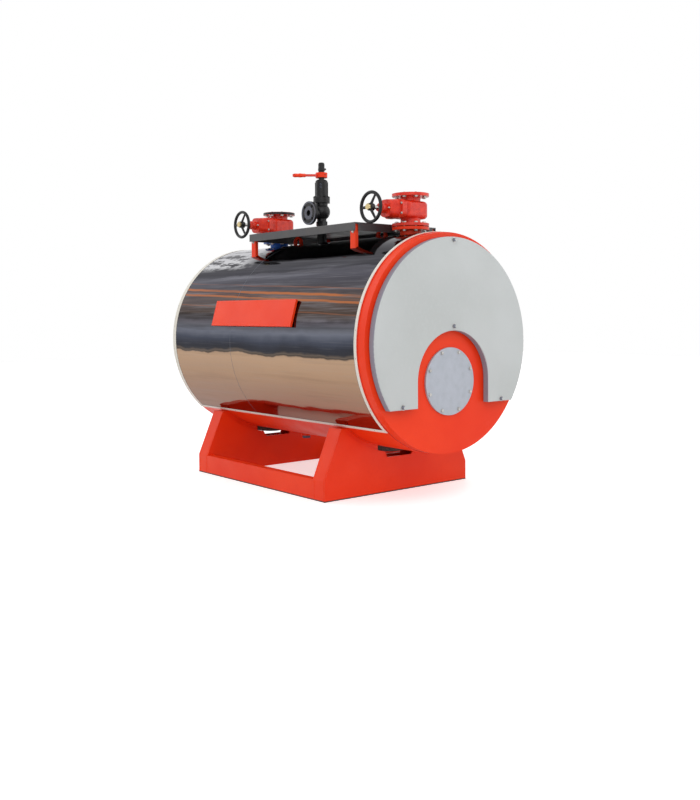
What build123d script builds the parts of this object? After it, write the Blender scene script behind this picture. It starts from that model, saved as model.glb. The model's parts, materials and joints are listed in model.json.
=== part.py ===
from build123d import *
import math
import os

# Horizontal fire-tube hot water boiler on a welded sheet steel skid.
# Millimetres, +Z up. The origin is on the floor, under the middle of the boiler.
# The burner end faces -Y. Distances called "station" are measured along the boiler
# from the front edge of the polished cladding towards the rear.

# Barrel
axis_height = 820.0
cladding_radius = 580.0
cladding_sheet = 2.0
cladding_length = 1800.0
cladding_edge_angle = 49.0
casing_sheet = 3.0
insulation_depth = 65.0
pressure_shell_wall = 8.0
tube_plate_thickness = 14.0

# Edging strips that finish the cladding
edging_thickness = 3.0
edging_rise = 1.5
edging_lip = 12.0

# End drums, gaskets and covers
drum_step = 6.0
rear_drum_step = 54.0
drum_depth = 55.0
drum_wall = 8.0
drum_rim_width = 34.0
gasket_inset = 44.0
gasket_width = 12.0
gasket_thickness = 5.0
cover_inset = 26.0
cover_thickness = 35.0
cover_edge_round = 4.0
cover_cut_drop = 320.0
cover_notch_radius = 258.0
cover_notch_drop = 192.0
cover_nut_flats = 17.0
cover_nut_height = 16.0
cover_nut_edge = 16.0
cover_nut_notch_gap = 23.0
cover_nut_foot_rise = 13.0
cover_nut_foot_reach = 360.0

# Burner opening and its blanking plate
burner_drop = 197.0
burner_mouth_radius = 125.0
burner_plate_radius = 176.0
burner_plate_thickness = 10.0
burner_bolt_circle = 320.0
burner_bolt_count = 8
burner_bolt_hole = 14.0

# Flue outlet at the rear
flue_rise = 190.0
flue_bore = 250.0
flue_wall = 4.0
flue_reach = 170.0
flue_flange_diameter = 330.0
flue_flange_thickness = 8.0
flue_bolt_circle = 298.0
flue_bolt_count = 8
flue_bolt_hole = 12.0
flue_clearance = 1.0

# Drain socket under the barrel
drain_station = 1180.0
drain_radius = 30.0
drain_bore = 40.0
drain_reach = 22.0
drain_plug_flats = 46.0
drain_plug_height = 16.0

# Skid
skid_half_width = 525.0
skid_side_height = 110.0
saddle_plate = 10.0
saddle_strip = 8.0
saddle_width = 100.0
front_saddle_station = 325.0
rear_saddle_station = 1490.0
saddle_seat_gap = 26.0
saddle_seat_band = 30.0
saddle_land = 8.0
saddle_edging_gap = 10.0
saddle_notch_half_width = 150.0
saddle_notch_depth = 50.0
saddle_notch_slope = 60.0
sill_plate = 8.0
sill_flange = 45.0

# Flow and return branches with flat-bodied gate valves
branch_diameter = 114.0
branch_wall = 6.0
flange_diameter = 200.0
flange_thickness = 18.0
flange_bolt_circle = 160.0
flange_bolt_count = 8
flange_bolt_hole = 18.0
raised_face_diameter = 138.0
raised_face = 2.0
branch_rise = 40.0
flow_station = 230.0
return_station = 1455.0
valve_bore = 80.0
valve_face_to_face = 180.0
valve_body_height = 94.0
valve_body_width = 130.0
valve_body_back = 85.0
valve_body_front = 96.0
valve_body_round = 40.0
valve_body_edge_round = 20.0
valve_neck_diameter = 108.0
bonnet_flange_width = 150.0
bonnet_flange_height = 100.0
bonnet_flange_thickness = 15.0
bonnet_flange_round = 30.0
bonnet_length = 56.0
bonnet_root_width = 116.0
bonnet_head_width = 84.0
bonnet_head_height = 92.0
gland_diameter = 52.0
gland_length = 34.0
gland_nut_flats = 40.0
gland_nut_length = 14.0
stem_diameter = 20.0
stem_tip_diameter = 14.0
stem_clearance = 0.06
stem_depth = 45.0
stem_end_gap = 1.0

# Handwheel
wheel_diameter = 172.0
wheel_rim_section = 18.0
wheel_offset = 282.0
wheel_hub_diameter = 40.0
wheel_hub_length = 26.0
wheel_spokes = 3
wheel_spoke_root_width = 19.0
wheel_spoke_root_thickness = 11.0
wheel_spoke_tip_width = 13.0
wheel_spoke_tip_thickness = 9.0
wheel_spoke_embed = 4.0
wheel_spoke_sink = 6.0
wheel_nut_flats = 30.0
wheel_nut_height = 12.0

# Safety valve
relief_station = 1010.0
relief_branch_diameter = 57.0
relief_branch_wall = 5.0
relief_branch_rise = 105.0
relief_hex_flats = 64.0
relief_hex_height = 25.0
relief_bulb_radius = 51.0
relief_bulb_rise = 83.0
relief_waist_diameter = 73.0
relief_top_flange_radius = 50.0
relief_top_flange_thickness = 16.0
relief_top_rise = 151.0
relief_outlet_rise = 71.0
relief_outlet_reach = 100.0
relief_outlet_flange = 140.0
relief_outlet_thickness = 16.0
relief_outlet_boss = 62.0
relief_outlet_bore = 34.0
relief_outlet_bolt_circle = 100.0
relief_outlet_bolts = 4
relief_outlet_hole = 18.0
relief_outlet_depth = 62.0
spring_housing_radius = 36.0
spring_housing_height = 103.0
spring_window_width = 16.0
spring_window_height = 34.0
spring_window_depth = 9.0
spring_window_drop = 32.0
spring_window_bearing = 222.0
relief_cap_base_radius = 30.0
relief_cap_base_height = 5.0
relief_cap_radius = 17.5
relief_cap_height = 109.0
relief_cap_round = 6.0
relief_seal_screw_diameter = 12.0
relief_seal_screw_reach = 14.0
relief_seal_screw_rise = 72.0

# Lifting lever of the safety valve
lever_pivot_rise = 33.0
lever_pivot_diameter = 8.0
lever_pivot_clearance = 0.06
lever_ring_inner_radius = 28.5
lever_ring_outer_radius = 34.0
lever_ring_height = 22.0
lever_arm_reach = 205.0
lever_arm_width = 15.0
lever_arm_thickness = 14.0
lever_arm_droop = 5.0
lever_tip_round = 9.0
lever_trunnion_reach = 36.0

# Service platform
platform_half_width = 300.0
platform_front_station = 340.0
platform_length = 1005.0
platform_rise = 60.0
platform_sheet = 4.0
platform_rim_depth = 40.0
platform_rim_sheet = 4.0
platform_rim_flange = 25.0
platform_relief_clearance = 8.0
leg_web = 42.0
leg_flange = 20.0
leg_sheet = 4.0
leg_side_inset = 6.0
leg_end_inset = 8.0

# Lifting lugs
lug_width = 100.0
lug_thickness = 16.0
lug_eye_diameter = 44.0
lug_eye_rise = 16.0
lug_top_round = 38.0
front_lug_station = 463.0
rear_lug_station = 1250.0
sheet_cutout_gap = 2.0

# Plain name panel on the left flank
panel_length = 790.0
panel_height = 150.0
panel_sheet = 3.0
panel_front_station = 525.0
panel_mid_height = 981.0
panel_standoff = 12.0
panel_stud_diameter = 14.0
panel_stud_inset = 40.0
panel_stud_half_rise = 48.0

# Derived sizes
casing_radius = cladding_radius - cladding_sheet
casing_inner_radius = casing_radius - casing_sheet
pressure_shell_radius = casing_inner_radius - insulation_depth
drum_radius = cladding_radius - drum_step
rear_drum_radius = cladding_radius - rear_drum_step
gasket_radius = drum_radius - gasket_inset
cover_radius = drum_radius - cover_inset
rear_cover_radius = rear_drum_radius - cover_inset
front_reach = drum_depth + gasket_thickness + cover_thickness
rear_reach = drum_depth + flue_reach
front_edge = front_reach - (front_reach + cladding_length + rear_reach) / 2
rear_edge = front_edge + cladding_length
drum_front = front_edge - drum_depth
drum_rear = rear_edge + drum_depth
cladding_top = axis_height + cladding_radius
belly_height = axis_height - casing_radius
edging_drop = cladding_radius * math.sin(math.radians(cladding_edge_angle))
skid_shoulder_drop = round(edging_drop + saddle_edging_gap)
skid_shoulder_height = axis_height - skid_shoulder_drop
saddle_seat_radius = casing_radius + saddle_seat_gap
saddle_seat_reach = math.sqrt(saddle_seat_radius**2 - skid_shoulder_drop**2)
skid_shoulder_half_width = round(saddle_seat_reach + saddle_land)
branch_joint_height = cladding_top + branch_rise
valve_axis_height = branch_joint_height + valve_face_to_face / 2
gland_foot = valve_body_front + 2 * bonnet_flange_thickness + bonnet_length
gland_top = gland_foot + gland_length + gland_nut_length
relief_branch_top = cladding_top + relief_branch_rise
platform_top_height = cladding_top + platform_rise
lug_eye_height = cladding_top + lug_eye_rise


def station(distance):
    """Y of a point the given distance behind the cladding's front edge."""
    return front_edge + distance


def across(y):
    """Plane across the barrel at y, on its axis, with local y pointing up."""
    return Plane(origin=(0, y, axis_height), x_dir=(1, 0, 0), z_dir=(0, -1, 0))


def floor_section(y):
    """Plane across the boiler at y, on the floor, with local y pointing up."""
    return Plane(origin=(0, y, 0), x_dir=(1, 0, 0), z_dir=(0, -1, 0))


def disc_stack(sketch, start, end):
    """Extrude a cross-section from y = start to y = end."""
    return extrude(across(end) * sketch, amount=end - start)


def annulus(outer, inner):
    """Flat ring."""
    return Circle(outer) - Circle(inner)


def belly_wedge(reach):
    """Sector below the cladding's lower edges, which the cladding leaves open."""
    angle = math.radians(cladding_edge_angle)
    side = reach * math.cos(angle)
    drop = reach * math.sin(angle)
    return make_face(
        Polyline((0, 0), (side, -drop), (side, -reach), (-side, -reach), (-side, -drop), close=True)
    )


def turned_about_y(points, y, height):
    """Solid turned about a lengthwise axis, from (radius, y offset) points."""
    return Pos(0, y, height) * revolve(make_face(Polyline(*points, close=True)), Axis.Y)


def cylinder_between(radius, low, high):
    """Upright cylinder on Z from one height to another."""
    return Pos(0, 0, low) * Cylinder(radius, high - low, align=(Align.CENTER, Align.CENTER, Align.MIN))


def bolt_holes(circle, count, hole, low, high):
    """Upright drillings on a bolt circle, straddling the axes."""
    step = 360 / count
    drill = Pos(circle / 2, 0, 0) * cylinder_between(hole / 2, low, high)
    return [Rot(0, 0, step * (index + 0.5)) * drill for index in range(count)]


def hexagon(flats, low, high):
    """Upright hexagonal bar of the given width across flats."""
    return Pos(0, 0, low) * extrude(RegularPolygon(flats / 2, 6, major_radius=False), amount=high - low)


def inside_shell(width):
    """Space inside the water shell's outer face, for trimming what is welded onto it."""
    return Pos(0, 0, axis_height) * Rot(90, 0, 0) * Cylinder(pressure_shell_radius, width)


def below_cover_cut():
    """Half plane below the flat bottom edge of the front cover."""
    size = 4 * cover_radius
    return Pos(0, -cover_cut_drop) * Rectangle(size, size, align=(Align.CENTER, Align.MAX))


def ring_of_holes(circle, count, hole):
    """Flat discs on a bolt circle, straddling the axes."""
    step = 360 / count
    disc = Pos(circle / 2, 0) * Circle(hole / 2)
    return [Rot(0, 0, step * (index + 0.5)) * disc for index in range(count)]


def barrel_cutouts():
    """Upright clearance shapes where branches and lugs pass through the casing and cladding."""
    above = cladding_top + sheet_cutout_gap
    shapes = []
    for place, diameter in (
        (flow_station, branch_diameter),
        (return_station, branch_diameter),
        (relief_station, relief_branch_diameter),
    ):
        hole = cylinder_between(diameter / 2 + sheet_cutout_gap, axis_height, above)
        shapes.append(Pos(0, station(place), 0) * hole)
    for place in (front_lug_station, rear_lug_station):
        slot = Box(
            lug_thickness + 2 * sheet_cutout_gap,
            lug_width + 2 * sheet_cutout_gap,
            above - axis_height,
            align=(Align.CENTER, Align.CENTER, Align.MIN),
        )
        shapes.append(Pos(0, station(place), axis_height) * slot)
    return shapes


def drain_cutout():
    """Clearance for the drain socket through the casing's underside."""
    hole = cylinder_between(drain_radius + sheet_cutout_gap, 0, axis_height)
    return Pos(0, station(drain_station), 0) * hole


def pressure_shell():
    """Water shell between the tube plates, open where branches enter."""
    wall = disc_stack(
        annulus(pressure_shell_radius, pressure_shell_radius - pressure_shell_wall),
        front_edge + tube_plate_thickness,
        rear_edge - tube_plate_thickness,
    )
    for place, bore in (
        (flow_station, branch_diameter - 2 * branch_wall),
        (return_station, branch_diameter - 2 * branch_wall),
        (relief_station, relief_branch_diameter - 2 * relief_branch_wall),
    ):
        wall -= Pos(0, station(place), 0) * cylinder_between(bore / 2, axis_height, cladding_top)
    wall -= Pos(0, station(drain_station), 0) * cylinder_between(drain_bore / 2, 0, axis_height)
    return wall


def tube_plate(start):
    """End plate that closes the water shell and carries the casing."""
    return disc_stack(Circle(casing_inner_radius), start, start + tube_plate_thickness)


def casing():
    """Painted sheet casing, which shows as the boiler's belly."""
    sheet = disc_stack(annulus(casing_radius, casing_inner_radius), front_edge, rear_edge)
    return sheet - barrel_cutouts() - drain_cutout()


def cladding():
    """Polished sheet wrapped over the casing down to its lower edges."""
    sheet = annulus(cladding_radius, casing_radius) - belly_wedge(2 * cladding_radius)
    wrap = disc_stack(sheet, front_edge + edging_thickness, rear_edge - edging_thickness)
    return wrap - barrel_cutouts()


def end_edging(at_front):
    """Angle strip round one end of the cladding."""
    outer = cladding_radius + edging_rise
    wedge = belly_wedge(2 * cladding_radius)
    web = annulus(outer, casing_radius) - wedge
    lip = annulus(outer, cladding_radius) - wedge
    if at_front:
        strip = disc_stack(web, front_edge, front_edge + edging_thickness)
        return strip + disc_stack(lip, front_edge, front_edge + edging_lip)
    strip = disc_stack(web, rear_edge - edging_thickness, rear_edge)
    return strip + disc_stack(lip, rear_edge - edging_lip, rear_edge)


def lower_edging():
    """Angle strip along the cladding's lower edge on the +X flank."""
    middle = (front_edge + rear_edge) / 2
    outer = cladding_radius + edging_rise
    web = Pos((outer + casing_radius) / 2, 0, -edging_thickness / 2)
    web *= Box(outer - casing_radius, cladding_length, edging_thickness)
    lip_length = cladding_length - 2 * edging_lip
    lip = Pos(cladding_radius + edging_rise / 2, 0, (edging_lip - edging_thickness) / 2)
    lip *= Box(edging_rise, lip_length, edging_lip + edging_thickness)
    strip = web + (lip - Rot(90, 0, 0) * Cylinder(cladding_radius, 2 * cladding_length))
    return Pos(0, middle, axis_height) * Rot(0, cladding_edge_angle, 0) * strip


def end_drum(radius, opening_radius, opening_height, at_front):
    """Shallow pressed drum that closes one end, open where the burner or flue passes."""
    points = [
        (0, -drum_depth),
        (radius, -drum_depth),
        (radius, 0),
        (radius - drum_rim_width, 0),
        (radius - drum_rim_width, -drum_wall),
        (radius - drum_wall, -drum_wall),
        (radius - drum_wall, drum_wall - drum_depth),
        (0, drum_wall - drum_depth),
    ]
    drum = turned_about_y(points, front_edge, axis_height)
    mouth = Pos(0, front_edge, opening_height) * Rot(90, 0, 0) * Cylinder(opening_radius, 4 * drum_depth)
    drum -= mouth
    if at_front:
        return drum
    return Pos(0, front_edge + rear_edge, 0) * mirror(drum, about=Plane.XZ)


def rear_gasket():
    """Rope seal between the rear drum and its cover."""
    outer = rear_drum_radius - gasket_inset
    return disc_stack(annulus(outer, outer - gasket_width), drum_rear, drum_rear + gasket_thickness)


def front_gasket():
    """Rope seal of the front cover, cut where the cover is cut away."""
    seal = annulus(gasket_radius, gasket_radius - gasket_width)
    return disc_stack(seal - below_cover_cut(), drum_front - gasket_thickness, drum_front)


def front_cover():
    """Insulated front cover with a flat bottom and a notch round the burner."""
    notch = Pos(0, -cover_notch_drop) * Circle(cover_notch_radius)
    notch += Pos(0, -cover_notch_drop) * Rectangle(
        2 * cover_notch_radius, 2 * cover_radius, align=(Align.CENTER, Align.MAX)
    )
    outline = Circle(cover_radius) - below_cover_cut() - notch
    face = drum_front - gasket_thickness - cover_thickness
    cover = disc_stack(outline, face, face + cover_thickness)
    cover = fillet(cover.faces().sort_by(Axis.Y)[0].edges(), cover_edge_round)
    nut = RegularPolygon(cover_nut_flats / 2, 6, major_radius=False)
    middle = cover_notch_radius - cover_notch_drop + cover_nut_notch_gap
    foot = cover_nut_foot_rise - cover_cut_drop
    reach = cover_nut_foot_reach
    for x, rise in ((0, cover_radius - cover_nut_edge), (0, middle), (-reach, foot), (reach, foot)):
        cover += disc_stack(Pos(x, rise) * nut, face - cover_nut_height, face)
    return cover


def rear_cover():
    """Insulated rear cover with a hole for the flue outlet."""
    hole = Pos(0, flue_rise) * Circle(flue_bore / 2 + flue_wall + flue_clearance)
    start = drum_rear + gasket_thickness
    cover = disc_stack(Circle(rear_cover_radius) - hole, start, start + cover_thickness)
    outer = cover.faces().sort_by(Axis.Y)[-1].outer_wire().edges()
    return fillet(outer, cover_edge_round)


def burner_plate():
    """Round blanking plate over the burner mouth."""
    outline = Circle(burner_plate_radius)
    outline -= ring_of_holes(burner_bolt_circle, burner_bolt_count, burner_bolt_hole)
    return disc_stack(Pos(0, -burner_drop) * outline, drum_front - burner_plate_thickness, drum_front)


def flue_collar():
    """Flanged spigot for the chimney connection."""
    outer = flue_bore / 2 + flue_wall
    pipe = annulus(outer, flue_bore / 2)
    flange = annulus(flue_flange_diameter / 2, flue_bore / 2)
    flange -= ring_of_holes(flue_bolt_circle, flue_bolt_count, flue_bolt_hole)
    collar = disc_stack(Pos(0, flue_rise) * pipe, drum_rear, drum_rear + flue_reach)
    end = drum_rear + flue_reach
    return collar + disc_stack(Pos(0, flue_rise) * flange, end - flue_flange_thickness, end)


def drain_socket():
    """Threaded socket welded to the bottom of the water shell."""
    low = belly_height - drain_reach
    socket = cylinder_between(drain_radius, low, axis_height)
    socket -= cylinder_between(drain_bore / 2, low, axis_height)
    return Pos(0, station(drain_station), 0) * (socket - inside_shell(4 * drain_radius))


def drain_plug():
    """Hexagon plug in the drain socket."""
    low = belly_height - drain_reach
    plug = hexagon(drain_plug_flats, low - drain_plug_height, low)
    plug += cylinder_between(drain_bore / 2, low - drain_plug_height / 2, low + drain_reach)
    return Pos(0, station(drain_station), 0) * plug


def saddle_outline():
    """Cross-section of the skid: upright sides, sloping shoulders and a seat for the belly."""
    return make_face(
        Polyline(
            (-skid_half_width, 0),
            (skid_half_width, 0),
            (skid_half_width, skid_side_height),
            (skid_shoulder_half_width, skid_shoulder_height),
            (-skid_shoulder_half_width, skid_shoulder_height),
            (-skid_half_width, skid_side_height),
            close=True,
        )
    )


def saddle_seat():
    """Belly circle and the shallow clearance notch under it."""
    seat = Pos(0, axis_height) * Circle(saddle_seat_radius)
    floor = belly_height - saddle_notch_depth
    top = belly_height + saddle_notch_slope
    half_floor = saddle_notch_half_width - saddle_notch_slope
    notch = make_face(
        Polyline(
            (-half_floor, floor),
            (half_floor, floor),
            (saddle_notch_half_width, top),
            (-saddle_notch_half_width, top),
            close=True,
        )
    )
    return seat + notch


def saddle_web(start):
    """Transverse plate of a saddle."""
    sketch = saddle_outline() - saddle_seat()
    return extrude(floor_section(start + saddle_plate) * sketch, amount=saddle_plate)


def saddle_side(start):
    """Bent strip that closes a saddle on the +X side, with the band the barrel rests on."""
    run = skid_half_width - skid_shoulder_half_width
    slope = math.atan2(run, skid_shoulder_height - skid_side_height)
    bend = saddle_strip * math.tan(slope / 2)
    inset = saddle_strip / math.cos(slope)
    strip = make_face(
        Polyline(
            (skid_half_width - saddle_strip, 0),
            (skid_half_width, 0),
            (skid_half_width, skid_side_height),
            (skid_shoulder_half_width, skid_shoulder_height),
            (skid_shoulder_half_width - inset, skid_shoulder_height),
            (skid_half_width - saddle_strip, skid_side_height - bend),
            close=True,
        )
    )
    band = Pos(0, axis_height) * annulus(casing_radius + saddle_seat_band, casing_radius)
    reach = skid_shoulder_half_width - saddle_notch_half_width
    window = Rectangle(reach, skid_shoulder_height, align=(Align.MIN, Align.MIN))
    strip += band & (Pos(saddle_notch_half_width, 0) * window)
    width = saddle_width - 2 * saddle_plate
    return extrude(floor_section(start + saddle_plate + width) * strip, amount=width)


def sill():
    """Folded sill on the +X side, between the saddles."""
    section = make_face(
        Polyline(
            (skid_half_width, 0),
            (skid_half_width, skid_side_height),
            (skid_half_width - sill_flange, skid_side_height),
            (skid_half_width - sill_flange, skid_side_height - sill_plate),
            (skid_half_width - sill_plate, skid_side_height - sill_plate),
            (skid_half_width - sill_plate, 0),
            close=True,
        )
    )
    start = station(front_saddle_station + saddle_width)
    end = station(rear_saddle_station)
    return extrude(floor_section(end) * section, amount=end - start)


def left_of(shape):
    """Mirror image on the -X side."""
    return mirror(shape, about=Plane.YZ)


def flanged_branch(place):
    """Branch pipe on the water shell with its flange and raised face."""
    radius = branch_diameter / 2
    bore = valve_bore / 2
    joint = branch_joint_height
    under = joint - flange_thickness
    neck = cylinder_between(radius, axis_height, under)
    flange = cylinder_between(flange_diameter / 2, under, joint - raised_face)
    flange += cylinder_between(raised_face_diameter / 2, joint - raised_face, joint)
    for hole in bolt_holes(flange_bolt_circle, flange_bolt_count, flange_bolt_hole, under, joint):
        flange -= hole
    branch = neck + flange
    branch -= cylinder_between(radius - branch_wall, axis_height, under)
    branch -= cylinder_between(bore, under, joint)
    return Pos(0, station(place), 0) * (branch - inside_shell(4 * radius))


def wheelwards(place, height):
    """Placement that turns an upright shape so that it points to -X from the valve axis."""
    return Pos(0, station(place), height) * Rot(0, -90, 0)


def bonnet_flange():
    """Rounded joint flange between a valve's body and bonnet, flat on z = 0."""
    outline = RectangleRounded(bonnet_flange_height, bonnet_flange_width, bonnet_flange_round)
    return extrude(outline, amount=bonnet_flange_thickness)


def valve_body(place):
    """Flat gate valve body: rounded housing, two flanges and the bonnet joint."""
    half = valve_face_to_face / 2
    sides = valve_body_height / 2
    length = valve_body_back + valve_body_front
    outline = RectangleRounded(length, valve_body_width, valve_body_round)
    housing = extrude(outline, amount=valve_body_height)
    faces = housing.faces().sort_by(Axis.Z)
    housing = fillet(faces[0].edges() + faces[-1].edges(), valve_body_edge_round)
    body = Pos((valve_body_back - valve_body_front) / 2, 0, -sides) * housing
    body += cylinder_between(valve_neck_diameter / 2, -half, half)
    for low, high in ((-half, -half + flange_thickness), (half - flange_thickness, half)):
        body += cylinder_between(raised_face_diameter / 2, low, high)
    body += cylinder_between(flange_diameter / 2, raised_face - half, flange_thickness - half)
    body += cylinder_between(flange_diameter / 2, half - flange_thickness, half - raised_face)
    for low in (-half, half - flange_thickness):
        high = low + flange_thickness
        for hole in bolt_holes(flange_bolt_circle, flange_bolt_count, flange_bolt_hole, low, high):
            body -= hole
    body += Pos(-valve_body_front, 0, 0) * Rot(0, -90, 0) * bonnet_flange()
    body -= cylinder_between(valve_bore / 2, -half, half)
    return Pos(0, station(place), valve_axis_height) * body


def valve_bonnet(place):
    """Bonnet with its flange, tapering housing, gland and gland nut."""
    joint = valve_body_front + bonnet_flange_thickness
    root = joint + bonnet_flange_thickness
    nut = gland_foot + gland_length
    foot = RectangleRounded(bonnet_flange_height, bonnet_root_width, bonnet_flange_round)
    head = RectangleRounded(bonnet_head_height, bonnet_head_width, bonnet_flange_round)
    housing = loft([foot, Pos(0, 0, bonnet_length) * head])
    bonnet = Pos(0, 0, joint) * bonnet_flange() + Pos(0, 0, root) * housing
    bonnet += cylinder_between(gland_diameter / 2, gland_foot, nut)
    bonnet += hexagon(gland_nut_flats, nut, gland_top)
    bore = stem_diameter / 2 + stem_clearance
    bonnet -= cylinder_between(bore, gland_top - stem_depth - stem_end_gap, gland_top)
    return wheelwards(place, valve_axis_height) * bonnet


def valve_stem(place):
    """Turning stem from the gland to the handwheel nut."""
    hub_face = wheel_hub_length / 2
    stem = cylinder_between(stem_diameter / 2, gland_top - stem_depth, wheel_offset - hub_face)
    stem += cylinder_between(stem_tip_diameter / 2, gland_top, wheel_offset + hub_face)
    return wheelwards(place, valve_axis_height) * stem


def handwheel(place):
    """Cast handwheel: round rim, hub and dished spokes."""
    hub_face = wheel_hub_length / 2
    rim_radius = (wheel_diameter - wheel_rim_section) / 2
    wheel = Torus(rim_radius, wheel_rim_section / 2)
    hub = cylinder_between(wheel_hub_diameter / 2, -hub_face, hub_face)
    start = wheel_hub_diameter / 2 - wheel_spoke_embed
    root = Plane(origin=(start, 0, wheel_spoke_sink), x_dir=(0, 1, 0), z_dir=(1, 0, 0))
    tip = Plane(origin=(rim_radius, 0, 0), x_dir=(0, 1, 0), z_dir=(1, 0, 0))
    root_section = root * Ellipse(wheel_spoke_root_width / 2, wheel_spoke_root_thickness / 2)
    tip_section = tip * Ellipse(wheel_spoke_tip_width / 2, wheel_spoke_tip_thickness / 2)
    spoke = loft([root_section, tip_section])
    wheel += hub
    for index in range(wheel_spokes):
        wheel += Rot(0, 0, 90 + 360 / wheel_spokes * index) * spoke
    wheel -= cylinder_between(stem_tip_diameter / 2, -hub_face, hub_face)
    return wheelwards(place, valve_axis_height) * Pos(0, 0, wheel_offset) * wheel


def wheel_nut(place):
    """Hexagon nut that holds the handwheel on its stem."""
    low = wheel_offset + wheel_hub_length / 2
    return wheelwards(place, valve_axis_height) * hexagon(wheel_nut_flats, low, low + wheel_nut_height)


def relief_branch():
    """Branch pipe of the safety valve, from the water shell up through the platform."""
    outer = relief_branch_diameter / 2
    pipe = cylinder_between(outer, axis_height, relief_branch_top)
    pipe -= cylinder_between(outer - relief_branch_wall, axis_height, relief_branch_top)
    return Pos(0, station(relief_station), 0) * (pipe - inside_shell(4 * outer))


def relief_body():
    """Angle body of the safety valve with its side outlet flange."""
    neck = relief_branch_diameter / 2
    body = hexagon(relief_hex_flats, 0, relief_hex_height)
    body += cylinder_between(neck, 0, relief_bulb_rise)
    body += Pos(0, 0, relief_bulb_rise) * Sphere(relief_bulb_radius)
    body += cylinder_between(relief_waist_diameter / 2, relief_bulb_rise, relief_top_rise)
    low = relief_top_rise - relief_top_flange_thickness
    body += cylinder_between(relief_top_flange_radius, low, relief_top_rise)
    outlet = cylinder_between(relief_outlet_boss / 2, 0, relief_outlet_reach)
    face = relief_outlet_reach - relief_outlet_thickness
    outlet += cylinder_between(relief_outlet_flange / 2, face, relief_outlet_reach)
    body += Pos(0, 0, relief_outlet_rise) * Rot(0, -90, 0) * outlet
    end = relief_outlet_reach
    cuts = bolt_holes(relief_outlet_bolt_circle, relief_outlet_bolts, relief_outlet_hole, face, end)
    cuts.append(cylinder_between(relief_outlet_bore / 2, end - relief_outlet_depth, end))
    for cut in cuts:
        body -= Pos(0, 0, relief_outlet_rise) * Rot(0, -90, 0) * cut
    return Pos(0, station(relief_station), relief_branch_top) * body


def spring_housing():
    """Spring housing above the safety valve body, with a window in its side."""
    top = relief_top_flange_thickness + spring_housing_height
    housing = cylinder_between(relief_top_flange_radius, 0, relief_top_flange_thickness)
    housing += cylinder_between(spring_housing_radius, 0, top)
    slot = SlotOverall(spring_window_height, spring_window_width)
    window = Rot(0, 90, 0) * extrude(slot, amount=2 * spring_window_depth)
    place = Pos(spring_housing_radius - spring_window_depth, 0, top - spring_window_drop)
    housing -= Rot(0, 0, spring_window_bearing) * place * window
    return Pos(0, station(relief_station), relief_branch_top + relief_top_rise) * housing


def relief_cap():
    """Cap over the valve spindle, with trunnions for the lever and a seal screw."""
    rise = lever_pivot_rise
    cap = cylinder_between(relief_cap_base_radius, 0, relief_cap_base_height)
    column = cylinder_between(relief_cap_radius, 0, relief_cap_height)
    cap += fillet(column.faces().sort_by(Axis.Z)[-1].edges(), relief_cap_round)
    cap += Pos(0, 0, rise) * Rot(90, 0, 0) * Cylinder(lever_pivot_diameter / 2, 2 * lever_trunnion_reach)
    screw = cylinder_between(relief_seal_screw_diameter / 2, 0, relief_cap_radius + relief_seal_screw_reach)
    cap += Pos(0, 0, relief_seal_screw_rise) * Rot(0, 90, 0) * screw
    return cap_place() * cap


def cap_place():
    """Placement of the cap's foot on the spring housing."""
    height = relief_branch_top + relief_top_rise + relief_top_flange_thickness + spring_housing_height
    return Pos(0, station(relief_station), height)


def relief_lever():
    """Lifting lever: a ring round the cap with an arm towards -X."""
    half = lever_ring_height / 2
    ring = cylinder_between(lever_ring_outer_radius, -half, half)
    arm = Box(
        lever_arm_reach,
        lever_arm_width,
        lever_arm_thickness,
        align=(Align.MAX, Align.CENTER, Align.CENTER),
    )
    arm += Pos(-lever_arm_reach, 0, 0) * Cylinder(lever_tip_round, lever_arm_thickness)
    lever = ring + Rot(0, -lever_arm_droop, 0) * arm
    lever -= cylinder_between(lever_ring_inner_radius, -2 * half, 2 * half)
    eye = lever_pivot_diameter / 2 + lever_pivot_clearance
    lever -= Rot(90, 0, 0) * Cylinder(eye, 4 * lever_ring_outer_radius)
    return cap_place() * Pos(0, 0, lever_pivot_rise) * lever


def platform_deck():
    """Flat deck sheet with a hole for the safety valve branch."""
    length = platform_length
    deck = Box(2 * platform_half_width, length, platform_sheet, align=(Align.CENTER, Align.MIN, Align.MAX))
    deck = Pos(0, station(platform_front_station), platform_top_height) * deck
    radius = relief_branch_diameter / 2 + platform_relief_clearance
    hole = cylinder_between(radius, 0, 2 * platform_top_height)
    return deck - Pos(0, station(relief_station), 0) * hole


def rim_section(length):
    """Angle bar along +Y: upright outer leg at x = 0, flange turned inwards at the top."""
    section = make_face(
        Polyline(
            (0, 0),
            (0, -platform_rim_depth),
            (-platform_rim_sheet, -platform_rim_depth),
            (-platform_rim_sheet, -platform_rim_sheet),
            (-platform_rim_flange, -platform_rim_sheet),
            (-platform_rim_flange, 0),
            close=True,
        )
    )
    return extrude(Plane(origin=(0, length, 0), x_dir=(1, 0, 0), z_dir=(0, -1, 0)) * section, amount=length)


def platform_side_rim():
    """Rim bar along the platform's +X side."""
    height = platform_top_height - platform_sheet
    return Pos(platform_half_width, station(platform_front_station), height) * rim_section(platform_length)


def platform_end_rim(at_front):
    """Rim bar across one end of the platform, between the side bars."""
    inside = platform_half_width - platform_rim_flange
    height = platform_top_height - platform_sheet
    bar = rim_section(2 * inside)
    if at_front:
        return Pos(-inside, station(platform_front_station), height) * Rot(0, 0, -90) * bar
    end = station(platform_front_station) + platform_length
    return Pos(inside, end, height) * Rot(0, 0, 90) * bar


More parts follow.
